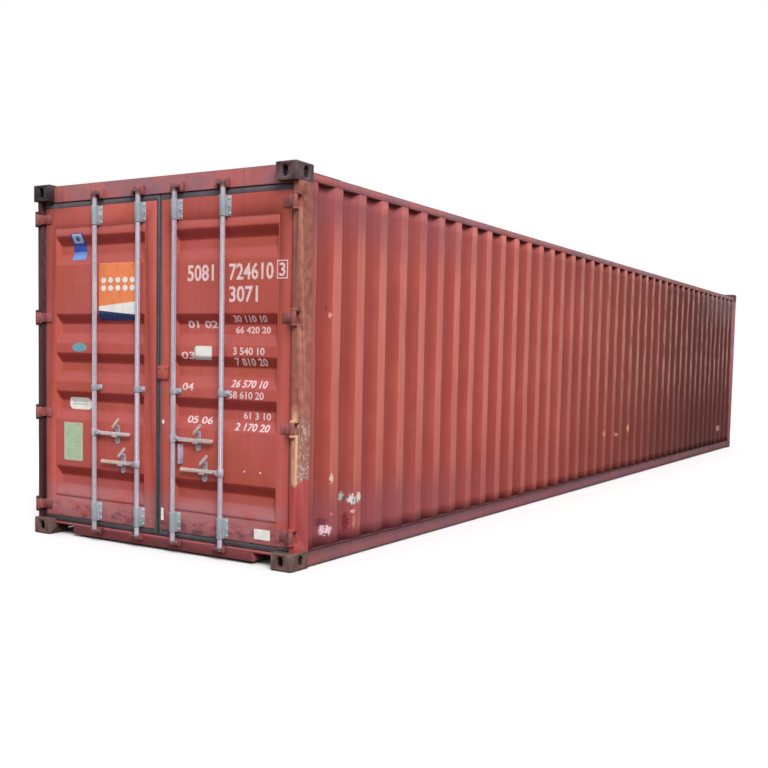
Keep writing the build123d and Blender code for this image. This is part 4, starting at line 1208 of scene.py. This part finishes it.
def drape(piece_name, name, shapes, lift=mark_lift, thick=mark_thick):
    """Lay shapes on a door: each is (points or figures, material, layer)."""
    made = bmesh.new()
    materials = []
    for shape, material, layer in shapes:
        points, faces = shape if isinstance(shape, tuple) else (shape, [tuple(range(len(shape)))])
        if material not in materials:
            materials.append(material)
        corners = [made.verts.new((u, v, layer)) for u, v in points]
        for face in faces:
            made.faces.new([corners[i] for i in face]).material_index = materials.index(material)
    bmesh.ops.remove_doubles(made, verts=made.verts, dist=1e-6)
    outs, levels, backs = panel_grids[name]
    side = 1 if name == "left" else -1
    ups, acrosses = [v.co.y for v in made.verts], [v.co.x for v in made.verts]
    for z in levels:
        if min(ups) < z < max(ups):
            slice_at(made, (0, z, 0), (0, 1, 0), 1e-6)
    for out in outs:
        if min(acrosses) < -side * out < max(acrosses):
            slice_at(made, (-side * out, 0, 0), (1, 0, 0), 1e-6)
    for v in made.verts:
        u, z, layer = v.co
        v.co = (door_face + lie(name, abs(u), z) - lift - layer * mark_step, -u, z)
    for f in made.faces:
        f.normal_update()
        if f.normal.x > 0:
            f.normal_flip()
    mesh = bpy.data.meshes.new(piece_name)
    made.to_mesh(mesh)
    made.free()
    for material in materials:
        mesh.materials.append(material)
    piece = host(piece_name, mesh)
    thicken(piece, thick)
    settle(piece, f"{name}_door", "shell_paint", smooth=None)
    print(piece_name, len(shapes), "shapes,", len(piece.data.polygons), "faces")


def printed(name, colour, worn=0.2, under=(186, 88, 80)):
    """Foil or stencil paint: a little dirty, and scraped through here and there."""
    made, shader = blank(name)
    dirt = clouds_of(14.0, 0.4, 0.68, 0.3, 1.0)
    shade = mix(dirt, colour, tuple(c * 0.78 for c in colour))
    shade = mix(clouds_of(75.0, 0.58, 0.66, worn, 2.0), shade, under)
    finish(shader, shade, span(dirt, 0.0, 0.3, 0.5, 0.75, False), noise(place(), 240.0, 3.0), 0.0002, 0.4)
    return made


white_paint = printed("white_paint", (246, 212, 212), 0.5)
white_foil = printed("white_foil", (250, 246, 240), 0.12)
orange_foil = printed("orange_foil", (250, 142, 88), 0.12)
navy_foil = printed("navy_foil", (38, 62, 122))
blue_foil = printed("blue_foil", (44, 76, 170))
sky_foil = printed("sky_foil", (112, 150, 222))
pale_foil = printed("pale_foil", (196, 206, 230))
teal_foil = printed("teal_foil", (112, 172, 184))
grey_foil = printed("grey_foil", (190, 204, 206))
plate_green = printed("plate_green", (192, 204, 172), 0.15, (210, 190, 160))
plate_mint = printed("plate_mint", (166, 206, 168), 0.2, (196, 204, 172))
print("mark finishes ready")

# %% Stickers and plate on the left door
dots = [(ring_of(-0.540 + 0.072 * i, 1.886 - 0.056 * j, 0.025, 0.021, 16), white_foil, 3)
        for i in range(5) for j in range(2)]
drape("left_door_stickers", "left", [
    (square(-0.588, 1.600, -0.206, 2.008), orange_foil, 0),
    ([(-0.588, 1.600), (-0.206, 1.600), (-0.206, 1.722), (-0.588, 1.690)], navy_foil, 1),
    ([(-0.588, 1.672), (-0.206, 1.640), (-0.206, 1.735), (-0.588, 1.702)], white_foil, 2),
    *dots,
    (square(-0.890, 2.042, -0.752, 2.232, 0.008), blue_foil, 0),
    (square(-0.890, 2.042, -0.752, 2.100, 0.008), sky_foil, 1),
    (square(-0.872, 2.162, -0.770, 2.226, 0.012), pale_foil, 1),
    (ring_of(-0.821, 2.192, 0.016, 0.016, 14), blue_foil, 2),
    (ring_of(-0.792, 1.404, 0.077, 0.032), teal_foil, 0),
    (square(-0.932, 0.948, -0.700, 1.036, 0.036), white_foil, 0),
    (square(-0.895, 1.002, -0.745, 1.010), grey_foil, 1),
    (square(-0.895, 0.984, -0.745, 0.992), grey_foil, 1),
])
plate_rows = [(square(-0.938, z, -0.772 - 0.022 * (i % 3), z + 0.010), plate_mint, 1)
              for i, z in enumerate(np.arange(0.594, 0.83, 0.026))]
plate = (square(-0.953, 0.568, -0.757, 0.850, 0.010), plate_green, 0)
drape("left_door_plate", "left", [plate] + plate_rows, 0.0022, 0.0020)
corners = [(u, v, 0.0016) for u in (-0.944, -0.766) for v in (0.578, 0.840)]
fasten("left_plate_rivets", "left_door", corners, door_turn, zinc, 0.006, 0.0022, 0.008, 10)

# %% Painted numbers and stickers on the right door
rows = (
    ("5081", 0.267, 1.862, 0.500, 1.972), ("724610", 0.633, 1.864, 1.003, 1.974),
    ("3", 1.050, 1.882, 1.098, 1.968), ("3071", 0.635, 1.720, 0.876, 1.826),
    ("01 02", 0.246, 1.550, 0.512, 1.600), ("30 110 10", 0.661, 1.590, 0.940, 1.634),
    ("66 420 20", 0.666, 1.518, 0.957, 1.562), ("03", 0.216, 1.340, 0.335, 1.390),
    ("3 540 10", 0.674, 1.376, 0.937, 1.426), ("7 810 20", 0.682, 1.306, 0.951, 1.356),
    ("04", 0.226, 1.128, 0.325, 1.178), ("26 570 10", 0.654, 1.162, 0.953, 1.212),
    ("58 610 20", 0.640, 1.088, 0.936, 1.138), ("05 06", 0.252, 0.906, 0.480, 0.956),
    ("61 3 10", 0.739, 0.954, 0.969, 1.002), ("2 170 20", 0.687, 0.878, 0.976, 0.928),
)
number_frame = (
    (1.031, 1.866, 1.118, 1.873), (1.031, 1.977, 1.118, 1.984),
    (1.031, 1.873, 1.038, 1.977), (1.111, 1.873, 1.118, 1.977),
)
right_shapes = [figures(*row) for row in rows] + [square(*edge) for edge in number_frame]
drape("right_door_numbers", "right", [(shape, white_paint, 0) for shape in right_shapes])
drape("right_door_stickers", "right", [
    (square(0.345, 1.356, 0.488, 1.430, 0.004), white_foil, 1),
    (square(0.332, 1.338, 0.478, 1.420, 0.004), grey_foil, 0),
    (square(0.868, 0.174, 1.000, 0.242, 0.004), white_foil, 0),
    (square(0.034, 0.215, 0.058, 0.300, 0.003), white_foil, 0),
    ([(0.036, 0.902), (0.050, 0.884), (0.064, 0.902), (0.050, 0.920)], white_foil, 0),
])
fasten("right_door_dots", "right_door", [(0.780, 0.610, 0), (0.915, 0.610, 0)], door_turn, white_paint,
       0.013, 0.002, 0.014, 12, "shell_paint")
